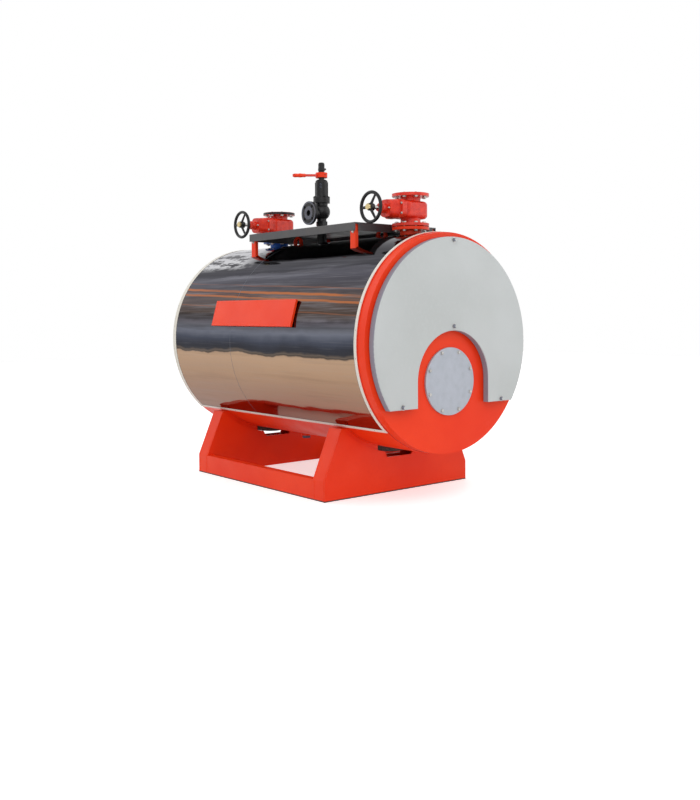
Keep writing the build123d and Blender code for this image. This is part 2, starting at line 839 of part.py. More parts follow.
def platform_leg(end_y, forwards):
    """Channel leg on the +X side, from the cladding up to the deck."""
    outer = platform_half_width - platform_rim_sheet - leg_side_inset
    low = axis_height
    high = platform_top_height - platform_sheet - platform_rim_sheet
    block = Box(leg_flange, leg_web, high - low, align=(Align.MAX, Align.MIN, Align.MIN))
    hollow = Box(leg_flange, leg_web - 2 * leg_sheet, high - low, align=(Align.MAX, Align.MIN, Align.MIN))
    channel = block - Pos(-leg_sheet, leg_sheet, 0) * hollow
    start = end_y if forwards else end_y - leg_web
    leg = Pos(outer, start, low) * channel
    barrel = Pos(0, start, axis_height) * Rot(90, 0, 0) * Cylinder(cladding_radius, 4 * leg_web)
    return leg - barrel


def lifting_lug(place):
    """Lifting lug plate on the water shell with its eye."""
    plate = make_face(
        Polyline(
            (-lug_width / 2, 0),
            (lug_width / 2, 0),
            (lug_width / 2, lug_eye_height - axis_height - lug_top_round),
            (lug_top_round, lug_eye_height - axis_height),
            (-lug_top_round, lug_eye_height - axis_height),
            (-lug_width / 2, lug_eye_height - axis_height - lug_top_round),
            close=True,
        )
    )
    eye = Pos(0, lug_eye_height - axis_height)
    plate += eye * Circle(lug_top_round)
    plate -= eye * Circle(lug_eye_diameter / 2)
    face = Plane(origin=(-lug_thickness / 2, 0, axis_height), x_dir=(0, 1, 0), z_dir=(1, 0, 0))
    lug = extrude(face * plate, amount=lug_thickness)
    return Pos(0, station(place), 0) * (lug - inside_shell(2 * lug_width))


def name_panel():
    """Plain panel on four studs on the left flank."""
    rise = panel_mid_height - axis_height
    offset = cladding_radius + panel_standoff
    tilt = math.degrees(math.asin(rise / offset))
    sheet = Box(panel_sheet, panel_length, panel_height, align=(Align.MIN, Align.MIN, Align.CENTER))
    panel = Pos(offset, 0, 0) * sheet
    for along in (panel_stud_inset, panel_length - panel_stud_inset):
        for up in (-panel_stud_half_rise, panel_stud_half_rise):
            stud = Rot(0, 90, 0) * cylinder_between(panel_stud_diameter / 2, axis_height / 2, offset)
            panel += Pos(0, along, up) * stud
    panel -= Rot(90, 0, 0) * Cylinder(cladding_radius, 4 * panel_length)
    return left_of(Pos(0, station(panel_front_station), axis_height) * Rot(0, -tilt, 0) * panel)


def saddle_nodes(name, place):
    """Plates and side strips of one saddle."""
    start = station(place)
    side = saddle_side(start)
    return {
        f"{name}_saddle_front_plate": saddle_web(start),
        f"{name}_saddle_rear_plate": saddle_web(start + saddle_width - saddle_plate),
        f"{name}_saddle_right_strip": side,
        f"{name}_saddle_left_strip": left_of(side),
    }


def valve_nodes(name, place):
    """Branch and valve pieces at one station."""
    return {
        f"{name}_branch": flanged_branch(place),
        f"{name}_valve_body": valve_body(place),
        f"{name}_valve_bonnet": valve_bonnet(place),
        f"{name}_valve_stem": valve_stem(place),
        f"{name}_handwheel": handwheel(place),
        f"{name}_wheel_nut": wheel_nut(place),
    }


def platform_nodes():
    """Deck, rim bars and legs of the service platform."""
    side = platform_side_rim()
    front = station(platform_front_station) + leg_end_inset
    rear = station(platform_front_station) + platform_length - leg_end_inset
    front_leg = platform_leg(front, True)
    rear_leg = platform_leg(rear, False)
    return {
        "platform_deck": platform_deck(),
        "platform_right_rim": side,
        "platform_left_rim": left_of(side),
        "platform_front_rim": platform_end_rim(True),
        "platform_rear_rim": platform_end_rim(False),
        "front_right_leg": front_leg,
        "front_left_leg": left_of(front_leg),
        "rear_right_leg": rear_leg,
        "rear_left_leg": left_of(rear_leg),
    }


def boiler_nodes():
    """All pieces by node name."""
    edging = lower_edging()
    sill_right = sill()
    nodes = {
        "pressure_shell": pressure_shell(),
        "front_tube_plate": tube_plate(front_edge),
        "rear_tube_plate": tube_plate(rear_edge - tube_plate_thickness),
        "casing": casing(),
        "cladding": cladding(),
        "front_edging": end_edging(True),
        "rear_edging": end_edging(False),
        "right_edging": edging,
        "left_edging": left_of(edging),
        "front_drum": end_drum(drum_radius, burner_mouth_radius, axis_height - burner_drop, True),
        "front_gasket": front_gasket(),
        "front_cover": front_cover(),
        "burner_plate": burner_plate(),
        "rear_drum": end_drum(rear_drum_radius, flue_bore / 2, axis_height + flue_rise, False),
        "rear_gasket": rear_gasket(),
        "rear_cover": rear_cover(),
        "flue_collar": flue_collar(),
        "drain_socket": drain_socket(),
        "drain_plug": drain_plug(),
        "right_sill": sill_right,
        "left_sill": left_of(sill_right),
        "relief_branch": relief_branch(),
        "relief_body": relief_body(),
        "spring_housing": spring_housing(),
        "relief_cap": relief_cap(),
        "relief_lever": relief_lever(),
        "front_lug": lifting_lug(front_lug_station),
        "rear_lug": lifting_lug(rear_lug_station),
        "name_panel": name_panel(),
    }
    nodes.update(saddle_nodes("front", front_saddle_station))
    nodes.update(saddle_nodes("rear", rear_saddle_station))
    nodes.update(valve_nodes("flow", flow_station))
    nodes.update(valve_nodes("return", return_station))
    nodes.update(platform_nodes())
    return nodes


os.makedirs("parts", exist_ok=True)
for node_name, solid in boiler_nodes().items():
    export_step(solid, f"parts/{node_name}.step")
    print(node_name, round(solid.volume))
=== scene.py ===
"""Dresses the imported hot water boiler: finishes, fasteners, seams, beads, floor, light and camera."""

import json
import logging
import math
from dataclasses import dataclass
from enum import Enum
from functools import cache
from typing import Iterable, Optional, Sequence

import bmesh
import bpy
from mathutils import Matrix, Vector


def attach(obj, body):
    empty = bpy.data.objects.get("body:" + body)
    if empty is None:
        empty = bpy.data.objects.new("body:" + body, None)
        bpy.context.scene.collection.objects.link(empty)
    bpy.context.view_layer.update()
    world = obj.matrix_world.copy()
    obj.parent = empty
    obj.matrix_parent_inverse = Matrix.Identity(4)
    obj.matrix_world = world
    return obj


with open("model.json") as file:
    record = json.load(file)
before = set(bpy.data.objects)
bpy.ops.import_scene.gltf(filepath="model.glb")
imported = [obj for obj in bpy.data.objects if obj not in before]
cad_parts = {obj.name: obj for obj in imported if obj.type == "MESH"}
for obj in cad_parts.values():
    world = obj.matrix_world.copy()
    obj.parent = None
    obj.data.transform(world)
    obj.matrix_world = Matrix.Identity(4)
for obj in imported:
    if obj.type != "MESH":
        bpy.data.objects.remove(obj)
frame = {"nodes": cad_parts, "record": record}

log = logging.getLogger("boiler")
Colour = tuple[float, float, float]
Point = tuple[float, float, float]
Socket = bpy.types.NodeSocket
Ring = list[bmesh.types.BMVert]

# Height of the barrel's axis and radius of its wrap
AXIS_HEIGHT = 0.820
WRAP_RADIUS = 0.580

# Turn of the first head in a row of fasteners, and how much further each next one is turned
HEAD_START = 0.2
HEAD_STEP = 0.7


class Slot(Enum):
    """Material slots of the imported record."""

    RED_PAINT = "red_paint"
    CASTING_RED = "casting_red"
    POLISHED_STEEL = "polished_steel"
    EDGING_WHITE = "edging_white"
    COVER_GRAY = "cover_gray"
    PLATE_GRAY = "plate_gray"
    ROPE_BLACK = "rope_black"
    DECK_DARK = "deck_dark"
    BLACK_CASTING = "black_casting"
    BLUE_PAINT = "blue_paint"
    BRASS = "brass"
    BARE_STEEL = "bare_steel"
    MILL_STEEL = "mill_steel"


class Body(Enum):
    """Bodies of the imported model."""

    BOILER = "boiler"
    FLOW_WHEEL = "flow_wheel"
    RETURN_WHEEL = "return_wheel"
    LEVER = "relief_lever_arm"


class Facing(Enum):
    """Directions a fastener's head may point, as the turn that takes +Z there."""

    UP = Matrix.Identity(4)
    DOWN = Matrix.Rotation(math.pi, 4, "X")
    FRONT = Matrix.Rotation(math.pi / 2, 4, "X")
    REAR = Matrix.Rotation(-math.pi / 2, 4, "X")
    LEFT = Matrix.Rotation(-math.pi / 2, 4, "Y")
    RIGHT = Matrix.Rotation(math.pi / 2, 4, "Y")


class Nodes:
    """A shader node tree whose nodes are added and joined."""

    def __init__(self, tree: bpy.types.NodeTree) -> None:
        """Take a tree and clear it."""
        self.tree = tree
        tree.nodes.clear()

    def node(self, kind: str, **settings: object) -> bpy.types.Node:
        """Add a shader node.

        Args:
            kind: Blender's name of the node type.
            settings: Properties to set on it.

        Returns:
            The new node.
        """
        made = self.tree.nodes.new(kind)
        for key, value in settings.items():
            setattr(made, key, value)
        return made

    def link(self, source: Socket, target: Socket) -> None:
        """Join an output to an input."""
        self.tree.links.new(source, target)

    def maths(self, operation: str, first: Socket, second: Socket | float = 0.0) -> Socket:
        """Combine two numbers.

        Args:
            operation: The Math node's operation.
            first: A socket.
            second: A socket or a plain number.

        Returns:
            The result socket.
        """
        node = self.node("ShaderNodeMath", operation=operation)
        self.link(first, node.inputs[0])
        if isinstance(second, (int, float)):
            node.inputs[1].default_value = second
        else:
            self.link(second, node.inputs[1])
        return node.outputs[0]


class Bench(Nodes):
    """Makes one material round a Principled shader."""

    def __init__(self, name: str) -> None:
        """Start a material.

        Args:
            name: The material's name.
        """
        self.material = bpy.data.materials.new(name)
        self.material.use_nodes = True
        super().__init__(self.material.node_tree)
        self.output = self.node("ShaderNodeOutputMaterial")
        self.shader = self.node("ShaderNodeBsdfPrincipled")
        self.link(self.shader.outputs["BSDF"], self.output.inputs["Surface"])
        self.position = self.node("ShaderNodeTexCoord").outputs["Object"]

    def set(self, **values: object) -> None:
        """Set plain values on the Principled shader, with underscores for spaces."""
        for key, value in values.items():
            self.shader.inputs[key.replace("_", " ")].default_value = value

    def stretched(self, scale: Point) -> Socket:
        """Object position with each axis scaled, for grain that runs one way.

        Args:
            scale: Factor of each axis.

        Returns:
            The scaled position.
        """
        mapping = self.node("ShaderNodeMapping")
        mapping.inputs["Scale"].default_value = scale
        self.link(self.position, mapping.inputs["Vector"])
        return mapping.outputs["Vector"]

    def noise(
        self, scale: float, detail: float, stretch: Point = (1.0, 1.0, 1.0), roughness: float = 0.5
    ) -> Socket:
        """Cloudy noise fixed to the object.

        Args:
            scale: Cells per metre.
            detail: Octaves of finer noise.
            stretch: Scale of each axis before the noise.
            roughness: Strength of the finer octaves.

        Returns:
            The noise factor, about 0.2 to 0.8.
        """
        texture = self.node("ShaderNodeTexNoise")
        texture.inputs["Scale"].default_value = scale
        texture.inputs["Detail"].default_value = detail
        texture.inputs["Roughness"].default_value = roughness
        self.link(self.stretched(stretch), texture.inputs["Vector"])
        return texture.outputs["Fac"]

    def span(
        self, value: Socket, low: float, high: float, to_low: float = 0.0, to_high: float = 1.0
    ) -> Socket:
        """Map a range of values to another, clamped.

        Args:
            value: The socket to map.
            low: Value that becomes to_low.
            high: Value that becomes to_high.
            to_low: First result.
            to_high: Last result.

        Returns:
            The mapped socket.
        """
        mapped = self.node("ShaderNodeMapRange")
        for key, number in (("From Min", low), ("From Max", high), ("To Min", to_low), ("To Max", to_high)):
            mapped.inputs[key].default_value = number
        self.link(value, mapped.inputs["Value"])
        return mapped.outputs["Result"]

    def plus(self, first: Socket, second: Socket | float) -> Socket:
        """First plus second."""
        return self.maths("ADD", first, second)

    def times(self, first: Socket, second: Socket | float) -> Socket:
        """First times second."""
        return self.maths("MULTIPLY", first, second)

    def blend(self, factor: Socket, first: Socket | Colour, second: Socket | Colour) -> Socket:
        """Mix two colours.

        Args:
            factor: Share of the second colour.
            first: A colour or a colour socket.
            second: A colour or a colour socket.

        Returns:
            The mixed colour socket.
        """
        mix = self.node("ShaderNodeMix", data_type="RGBA")
        self.link(factor, mix.inputs["Factor"])
        for socket, value in ((mix.inputs[6], first), (mix.inputs[7], second)):
            if isinstance(value, tuple):
                socket.default_value = (*value, 1.0)
            else:
                self.link(value, socket)
        return mix.outputs[2]

    def ramp(self, value: Socket, stops: Sequence[tuple[float, Colour]]) -> Socket:
        """Colours along a value.

        Args:
            value: The socket read.
            stops: Places from 0 to 1 and their colours.

        Returns:
            The colour socket.
        """
        ramp = self.node("ShaderNodeValToRGB")
        elements = ramp.color_ramp.elements
        while len(elements) < len(stops):
            elements.new(0.5)
        for element, (place, colour) in zip(elements, stops):
            element.position = place
            element.color = (*colour, 1.0)
        self.link(value, ramp.inputs["Fac"])
        return ramp.outputs["Color"]

    def axis(self, letter: str) -> Socket:
        """One coordinate of the object position, in metres."""
        split = self.node("ShaderNodeSeparateXYZ")
        self.link(self.position, split.inputs[0])
        return split.outputs[letter]

    def facing(self, letter: str) -> Socket:
        """How far the surface faces along one axis, from -1 to 1."""
        split = self.node("ShaderNodeSeparateXYZ")
        self.link(self.node("ShaderNodeNewGeometry").outputs["True Normal"], split.inputs[0])
        return split.outputs[letter]

    def rounded(self, radius: float) -> Socket:
        """Normal that rounds sharp edges by a small radius."""
        bevel = self.node("ShaderNodeBevel", samples=4)
        bevel.inputs["Radius"].default_value = radius
        return bevel.outputs["Normal"]

    def edges(self, radius: float) -> Socket:
        """How near a surface point is to a sharp edge.

        Args:
            radius: Distance within which an edge counts.

        Returns:
            The nearness, 0 on flats.
        """
        dot = self.node("ShaderNodeVectorMath", operation="DOT_PRODUCT")
        self.link(self.rounded(radius), dot.inputs[0])
        self.link(self.node("ShaderNodeNewGeometry").outputs["Normal"], dot.inputs[1])
        return self.span(dot.outputs["Value"], 0.995, 0.85)

    def relief(self, height: Socket, distance: float, normal: Optional[Socket] = None) -> Socket:
        """Bump from a height.

        Args:
            height: Height socket, 0 to 1.
            distance: Metres that a height of 1 stands for.
            normal: Normal to start from.

        Returns:
            The bumped normal socket.
        """
        bump = self.node("ShaderNodeBump")
        bump.inputs["Distance"].default_value = distance
        self.link(height, bump.inputs["Height"])
        if normal is not None:
            self.link(normal, bump.inputs["Normal"])
        return bump.outputs["Normal"]

    def feed(self, **sockets: Socket) -> None:
        """Link sockets to the Principled shader, with underscores for spaces."""
        for key, socket in sockets.items():
            self.link(socket, self.shader.inputs[key.replace("_", " ")])


@dataclass(frozen=True)
class PaintFinish:
    """Sprayed enamel on sheet steel: slight tone drift, orange peel and rubbed edges, and where set, painted
    shade on the faces that turn away from front and rear.
    """

    name: str
    tone: Colour
    shade: Colour
    rubbed: Colour
    gloss: float = 0.3
    peel: float = 0.00006
    rubbing: float = 0.5
    edge_round: float = 0.002
    shine: float = 0.22
    side_painted_shade: Optional[Colour] = None

    def material(self) -> bpy.types.Material:
        """Build the finish's material.

        Returns:
            The material.
        """
        bench = Bench(self.name)
        drift = bench.span(bench.noise(2.3, 3.0), 0.35, 0.65)
        fleck = bench.span(bench.noise(60.0, 4.0), 0.5, 0.72, 0.0, 0.35)
        base = bench.blend(drift, self.tone, self.shade)
        base = bench.blend(fleck, base, self.shade)
        patch = bench.span(bench.noise(38.0, 3.0), 0.5, 0.66, 0.0, self.rubbing)
        worn = bench.times(bench.edges(0.0025), patch)
        base = bench.blend(worn, base, self.rubbed)
        if self.side_painted_shade is not None:
            # Painted shade: faces that turn away from front and rear take a darker colour
            side = bench.span(bench.maths("ABSOLUTE", bench.facing("Y")), 0.6, 0.2)
            base = bench.blend(side, base, self.side_painted_shade)
        rough = bench.span(bench.noise(9.0, 4.0), 0.3, 0.7, self.gloss - 0.06, self.gloss + 0.1)
        peel = bench.relief(bench.noise(260.0, 2.0), self.peel, bench.rounded(self.edge_round))
        bench.feed(Base_Color=base, Roughness=rough, Normal=peel)
        bench.set(Specular_IOR_Level=self.shine)
        return bench.material


@dataclass(frozen=True)
class CastFinish:
    """Paint over sand-cast iron: grainy skin, darker pits and bright rubbed edges."""

    name: str
    tone: Colour
    shade: Colour
    rubbed: Colour
    gloss: float = 0.32
    grain: float = 0.0005
    rubbing: float = 0.6
    shine: float = 0.25

    def material(self) -> bpy.types.Material:
        """Build the finish's material.

        Returns:
            The material.
        """
        bench = Bench(self.name)
        pits = bench.noise(190.0, 5.0, roughness=0.65)
        lumps = bench.noise(38.0, 3.0)
        base = bench.blend(bench.span(lumps, 0.35, 0.65), self.tone, self.shade)
        base = bench.blend(bench.span(pits, 0.42, 0.25, 0.0, 0.5), base, self.shade)
        worn = bench.times(bench.edges(0.003), bench.span(pits, 0.45, 0.6, 0.1, self.rubbing))
        base = bench.blend(worn, base, self.rubbed)
        rough = bench.span(pits, 0.3, 0.7, self.gloss - 0.08, self.gloss + 0.14)
        height = bench.plus(pits, bench.times(lumps, 1.6))
        skin = bench.relief(height, self.grain, bench.rounded(0.003))
        bench.feed(Base_Color=base, Roughness=rough, Normal=skin)
        bench.set(Specular_IOR_Level=self.shine)
        return bench.material


@dataclass(frozen=True)
class MetalFinish:
    """Bare or plated metal with fine machining or handling marks."""

    name: str
    tone: Colour
    stain: Colour
    roughness: float = 0.3
    metallic: float = 1.0
    grain: Point = (120.0, 120.0, 120.0)
    marks: float = 0.0001

    def material(self) -> bpy.types.Material:
        """Build the finish's material.

        Returns:
            The material.
        """
        bench = Bench(self.name)
        cloud = bench.noise(26.0, 4.0)
        grain = bench.noise(1.0, 3.0, stretch=self.grain)
        base = bench.blend(bench.span(cloud, 0.4, 0.75, 0.0, 0.8), self.tone, self.stain)
        rough = bench.span(grain, 0.3, 0.7, self.roughness - 0.1, self.roughness + 0.12)
        marks = bench.relief(grain, self.marks, bench.rounded(0.0012))
        bench.feed(Base_Color=base, Roughness=rough, Normal=marks)
        bench.set(Metallic=self.metallic)
        return bench.material


@dataclass(frozen=True)
class PolishFinish:
    """Mirror polished wrap whose colour is painted reflection: long bands of the surroundings by height, thin
    orange reflection lines, lengthwise light and dark reflection streaks and glints on the crown, over real
    hairline polish marks.
    """

    name: str
    low: float = 0.40
    high: float = 1.42
    sway: float = 0.030
    grazing: Colour = (0.68, 0.68, 0.70)
    # Painted reflection colours: the orange lines, the crown glints and the lighter and darker streaks of the
    # upper zone
    reflected_orange: Colour = (0.25, 0.085, 0.030)
    silver: Colour = (0.85, 0.85, 0.86)
    pale: Colour = (0.24, 0.24, 0.27)
    dark: Colour = (0.022, 0.020, 0.024)
    hairline: Colour = (0.40, 0.38, 0.38)
    # Painted reflection of the surroundings: colour at each height, from the wrap's lower edge up to the
    # crown
    bands: tuple[tuple[float, Colour], ...] = (
        (0.440, (0.35, 0.215, 0.155)),
        (0.540, (0.37, 0.232, 0.160)),
        (0.640, (0.41, 0.262, 0.168)),
        (0.735, (0.45, 0.295, 0.190)),
        (0.752, (0.42, 0.280, 0.185)),
        (0.758, (0.060, 0.050, 0.042)),
        (0.766, (0.13, 0.100, 0.080)),
        (0.778, (0.036, 0.036, 0.042)),
        (0.800, (0.040, 0.042, 0.054)),
        (0.835, (0.062, 0.070, 0.096)),
        (0.878, (0.155, 0.165, 0.205)),
        (0.905, (0.105, 0.108, 0.126)),
        (0.930, (0.120, 0.112, 0.130)),
        (0.952, (0.052, 0.046, 0.048)),
        (0.985, (0.042, 0.029, 0.022)),
        (1.020, (0.044, 0.032, 0.028)),
        (1.060, (0.072, 0.054, 0.048)),
        (1.095, (0.036, 0.031, 0.033)),
        (1.125, (0.040, 0.038, 0.044)),
        (1.165, (0.043, 0.042, 0.052)),
        (1.215, (0.046, 0.045, 0.054)),
        (1.262, (0.040, 0.039, 0.045)),
        (1.292, (0.018, 0.017, 0.019)),
        (1.325, (0.012, 0.011, 0.013)),
        (1.400, (0.016, 0.015, 0.018)),
    )
    # Painted reflection lines in orange: height, half width and strength of each
    lines: tuple[tuple[float, float, float], ...] = (
        (1.006, 0.0035, 0.30),
        (1.068, 0.0065, 0.90),
        (1.082, 0.0030, 0.25),
        (1.099, 0.0070, 1.00),
        (1.136, 0.0030, 0.35),
    )

    def material(self) -> bpy.types.Material:
        """Build the finish's material.

        Returns:
            The material.
        """
        bench = Bench(self.name)
        swell = bench.noise(1.0, 3.0, stretch=(2.4, 2.6, 4.0))
        ripple = bench.noise(1.0, 2.0, stretch=(6.0, 9.0, 8.0))
        streak = bench.noise(1.0, 4.0, stretch=(22.0, 1.1, 34.0), roughness=0.6)
        hair = bench.noise(1.0, 3.0, stretch=(120.0, 2.4, 170.0), roughness=0.7)
        level = bench.axis("Z")
        shift = bench.span(swell, 0.25, 0.75, -self.sway / 2, self.sway / 2)
        shift = bench.plus(shift, bench.span(ripple, 0.3, 0.7, -self.sway / 6, self.sway / 6))
        height = bench.plus(level, shift)
        width = self.high - self.low
        place = bench.span(height, self.low, self.high)
        # Base colour is painted reflection, banded by height with a slight sway
        reflection_and_hairlines = bench.ramp(place, [((z - self.low) / width, colour) for z, colour in self.bands])
        # Painted reflection streaks, lighter and darker, strongest in the upper zone
        upper = bench.span(level, 0.86, 0.93, 0.25, 1.0)
        bright = bench.times(bench.span(streak, 0.50, 0.72, 0.0, 0.30), upper)
        reflection_and_hairlines = bench.blend(bright, reflection_and_hairlines, self.pale)
        deep = bench.times(bench.span(streak, 0.48, 0.28, 0.0, 0.55), upper)
        reflection_and_hairlines = bench.blend(deep, reflection_and_hairlines, self.dark)
        reflection_and_hairlines = bench.blend(bench.span(hair, 0.55, 0.75, 0.0, 0.14), reflection_and_hairlines, self.hairline)
        # Painted reflection lines in orange, then painted glints on the crown
        reflection_and_hairlines = bench.blend(self.orange_reflection_lines(bench, level, shift), reflection_and_hairlines, self.reflected_orange)
        reflection_and_hairlines = bench.blend(self.crown_glints(bench, level, streak), reflection_and_hairlines, self.silver)
        rough = bench.span(hair, 0.3, 0.7, 0.04, 0.11)
        waves = bench.relief(bench.noise(1.0, 2.0, stretch=(5.0, 2.0, 7.0)), 0.004)
        bench.feed(Base_Color=reflection_and_hairlines, Roughness=rough, Normal=waves)
        bench.set(Metallic=1.0, Specular_Tint=(*self.grazing, 1.0))
        return bench.material

    def orange_reflection_lines(self, bench: Bench, level: Socket, shift: Socket) -> Socket:
        """Thin orange lines of painted reflection that fall slightly towards the burner end and fade in and
        out.

        Args:
            bench: The material's bench.
            level: Height above the floor.
            shift: Sway of the bands.

        Returns:
            The lines' mask.
        """
        fall = bench.times(bench.axis("Y"), -0.040)
        height = bench.plus(bench.plus(level, fall), bench.times(shift, 0.25))
        mask: Optional[Socket] = None
        for middle, half, strength in self.lines:
            away = bench.maths("ABSOLUTE", bench.plus(height, -middle))
            line = bench.span(away, half * 1.3, half * 0.5, 0.0, strength)
            mask = line if mask is None else bench.maths("MAXIMUM", mask, line)
        fade = bench.span(bench.noise(1.0, 2.0, stretch=(8.0, 1.6, 60.0)), 0.32, 0.50, 0.25, 1.0)
        return bench.times(mask, fade)

    def crown_glints(self, bench: Bench, level: Socket, streak: Socket) -> Socket:
        """Broken silver glints on the crown behind the platform.

        Args:
            bench: The material's bench.
            level: Height above the floor.
            streak: Lengthwise streaks.

        Returns:
            The glints' mask.
        """
        behind = bench.span(bench.axis("Y"), 0.22, 0.42)
        crown = bench.span(level, 1.235, 1.270)
        broken = bench.noise(1.0, 4.0, stretch=(16.0, 9.0, 40.0), roughness=0.7)
        glint = bench.span(bench.plus(broken, streak), 0.90, 1.02, 0.0, 0.95)
        return bench.times(bench.times(behind, crown), glint)


@dataclass(frozen=True)
class DeckFinish:
    """Dark tread sheet: raised lozenges, scuffed tops and dusty hollows."""

    name: str
    tone: Colour = (0.062, 0.062, 0.066)
    scuff: Colour = (0.19, 0.19, 0.19)
    dust: Colour = (0.12, 0.11, 0.10)
    tread: float = 0.034

    def material(self) -> bpy.types.Material:
        """Build the finish's material.

        Returns:
            The material.
        """
        bench = Bench(self.name)
        east, north = bench.axis("X"), bench.axis("Y")
        pitch = 2 * math.pi / self.tread
        slant = bench.times(bench.plus(east, north), pitch)
        cross = bench.times(bench.maths("SUBTRACT", east, north), pitch)
        first = bench.span(bench.maths("SINE", slant), 0.62, 0.9)
        second = bench.span(bench.maths("SINE", cross), 0.62, 0.9)
        flat = bench.span(bench.facing("Z"), 0.9, 0.95)
        tread = bench.times(bench.maths("MAXIMUM", first, second), flat)
        cloud = bench.noise(11.0, 5.0, roughness=0.6)
        base = bench.blend(bench.span(cloud, 0.45, 0.75, 0.0, 0.6), self.tone, self.dust)
        rub = bench.times(tread, bench.span(cloud, 0.4, 0.6, 0.15, 0.6))
        base = bench.blend(rub, base, self.scuff)
        edge = bench.times(bench.edges(0.0025), bench.span(cloud, 0.4, 0.65, 0.1, 0.7))
        base = bench.blend(edge, base, self.scuff)
        rough = bench.span(cloud, 0.3, 0.7, 0.42, 0.62)
        fine = bench.relief(bench.noise(240.0, 3.0), 0.0002, bench.rounded(0.002))
        bench.feed(Base_Color=base, Roughness=rough, Normal=bench.relief(tread, 0.0015, fine))
        return bench.material


@dataclass(frozen=True)
class RopeFinish:
    """Plaited heat-proof rope, dark and dusty."""

    name: str
    tone: Colour = (0.02, 0.02, 0.02)
    dust: Colour = (0.10, 0.09, 0.08)

    def material(self) -> bpy.types.Material:
        """Build the finish's material.

        Returns:
            The material.
        """
        bench = Bench(self.name)
        strands = bench.noise(1.0, 2.0, stretch=(260.0, 260.0, 260.0))
        base = bench.blend(bench.span(strands, 0.4, 0.6), self.tone, self.dust)
        bench.feed(Base_Color=base, Normal=bench.relief(strands, 0.0008))
        bench.set(Roughness=0.9)
        return bench.material


RED: Colour = (0.96, 0.054, 0.008)
RED_DEEP: Colour = (0.88, 0.038, 0.006)
RED_CASTING: Colour = (0.86, 0.040, 0.012)
RED_CASTING_DEEP: Colour = (0.68, 0.020, 0.008)

FINISHES = {
    Slot.RED_PAINT: PaintFinish("red_enamel", RED, RED_DEEP, (0.90, 0.12, 0.05), gloss=0.34),
    Slot.CASTING_RED: CastFinish(
        "red_casting_enamel", RED_CASTING, RED_CASTING_DEEP, (0.92, 0.20, 0.09), gloss=0.26, shine=0.4
    ),
    Slot.POLISHED_STEEL: PolishFinish("polished_wrap"),
    Slot.EDGING_WHITE: PaintFinish(
        "cream_edging", (0.87, 0.84, 0.77), (0.78, 0.74, 0.66), (0.92, 0.91, 0.88), gloss=0.35
    ),
    Slot.COVER_GRAY: PaintFinish(
        "cover_gray_paint", (0.53, 0.555, 0.55), (0.58, 0.605, 0.605), (0.68, 0.70, 0.70),
        # Painted shade on the cover's rim faces
        gloss=0.5, side_painted_shade=(0.27, 0.28, 0.34),
    ),
    Slot.PLATE_GRAY: MetalFinish(
        "zinc_plate", (0.46, 0.49, 0.55), (0.40, 0.43, 0.48), roughness=0.5, metallic=0.15, marks=0.00005
    ),
    Slot.ROPE_BLACK: RopeFinish("seal_rope"),
    Slot.DECK_DARK: DeckFinish("tread_deck"),
    Slot.BLACK_CASTING: CastFinish(
        "black_casting_paint", (0.011, 0.011, 0.012), (0.006, 0.006, 0.007), (0.075, 0.072, 0.072),
        gloss=0.3, shine=0.3,
    ),
    Slot.BLUE_PAINT: PaintFinish("blue_enamel", (0.020, 0.15, 0.60), (0.014, 0.10, 0.44), (0.12, 0.32, 0.70)),
    Slot.BRASS: MetalFinish("brass_nut", (0.62, 0.50, 0.26), (0.45, 0.36, 0.20), roughness=0.34),
    Slot.BARE_STEEL: MetalFinish(
        "turned_steel", (0.55, 0.54, 0.52), (0.34, 0.32, 0.29), grain=(900.0, 60.0, 60.0)
    ),
    Slot.MILL_STEEL: MetalFinish(
        "mill_scale", (0.115, 0.13, 0.17), (0.10, 0.08, 0.08), roughness=0.5, metallic=0.4
    ),
}


@cache
def material_of(slot: Slot) -> bpy.types.Material:
    """The slot's material, built once and shared by CAD nodes and added pieces."""
    return FINISHES[slot].material()


def dress_nodes() -> int:
    """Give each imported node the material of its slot.

    Returns:
        The number of nodes dressed.
    """
    for part in frame["record"]["subparts"]:
        mesh = frame["nodes"][part["node"]].data
        material = material_of(Slot(part["material_slot"]))
        if not mesh.materials:
            mesh.materials.append(material)
        for index in range(len(mesh.materials)):
            mesh.materials[index] = material
    return len(frame["record"]["subparts"])


def turns(count: int) -> list[float]:
    """Angles of equal steps round a full turn."""
    return [2 * math.pi * step / count for step in range(count)]


def circle(radius: float, height: float, sides: int) -> list[Vector]:
    """Points round the Z axis at one height."""
    return [Vector((radius * math.cos(turn), radius * math.sin(turn), height)) for turn in turns(sides)]


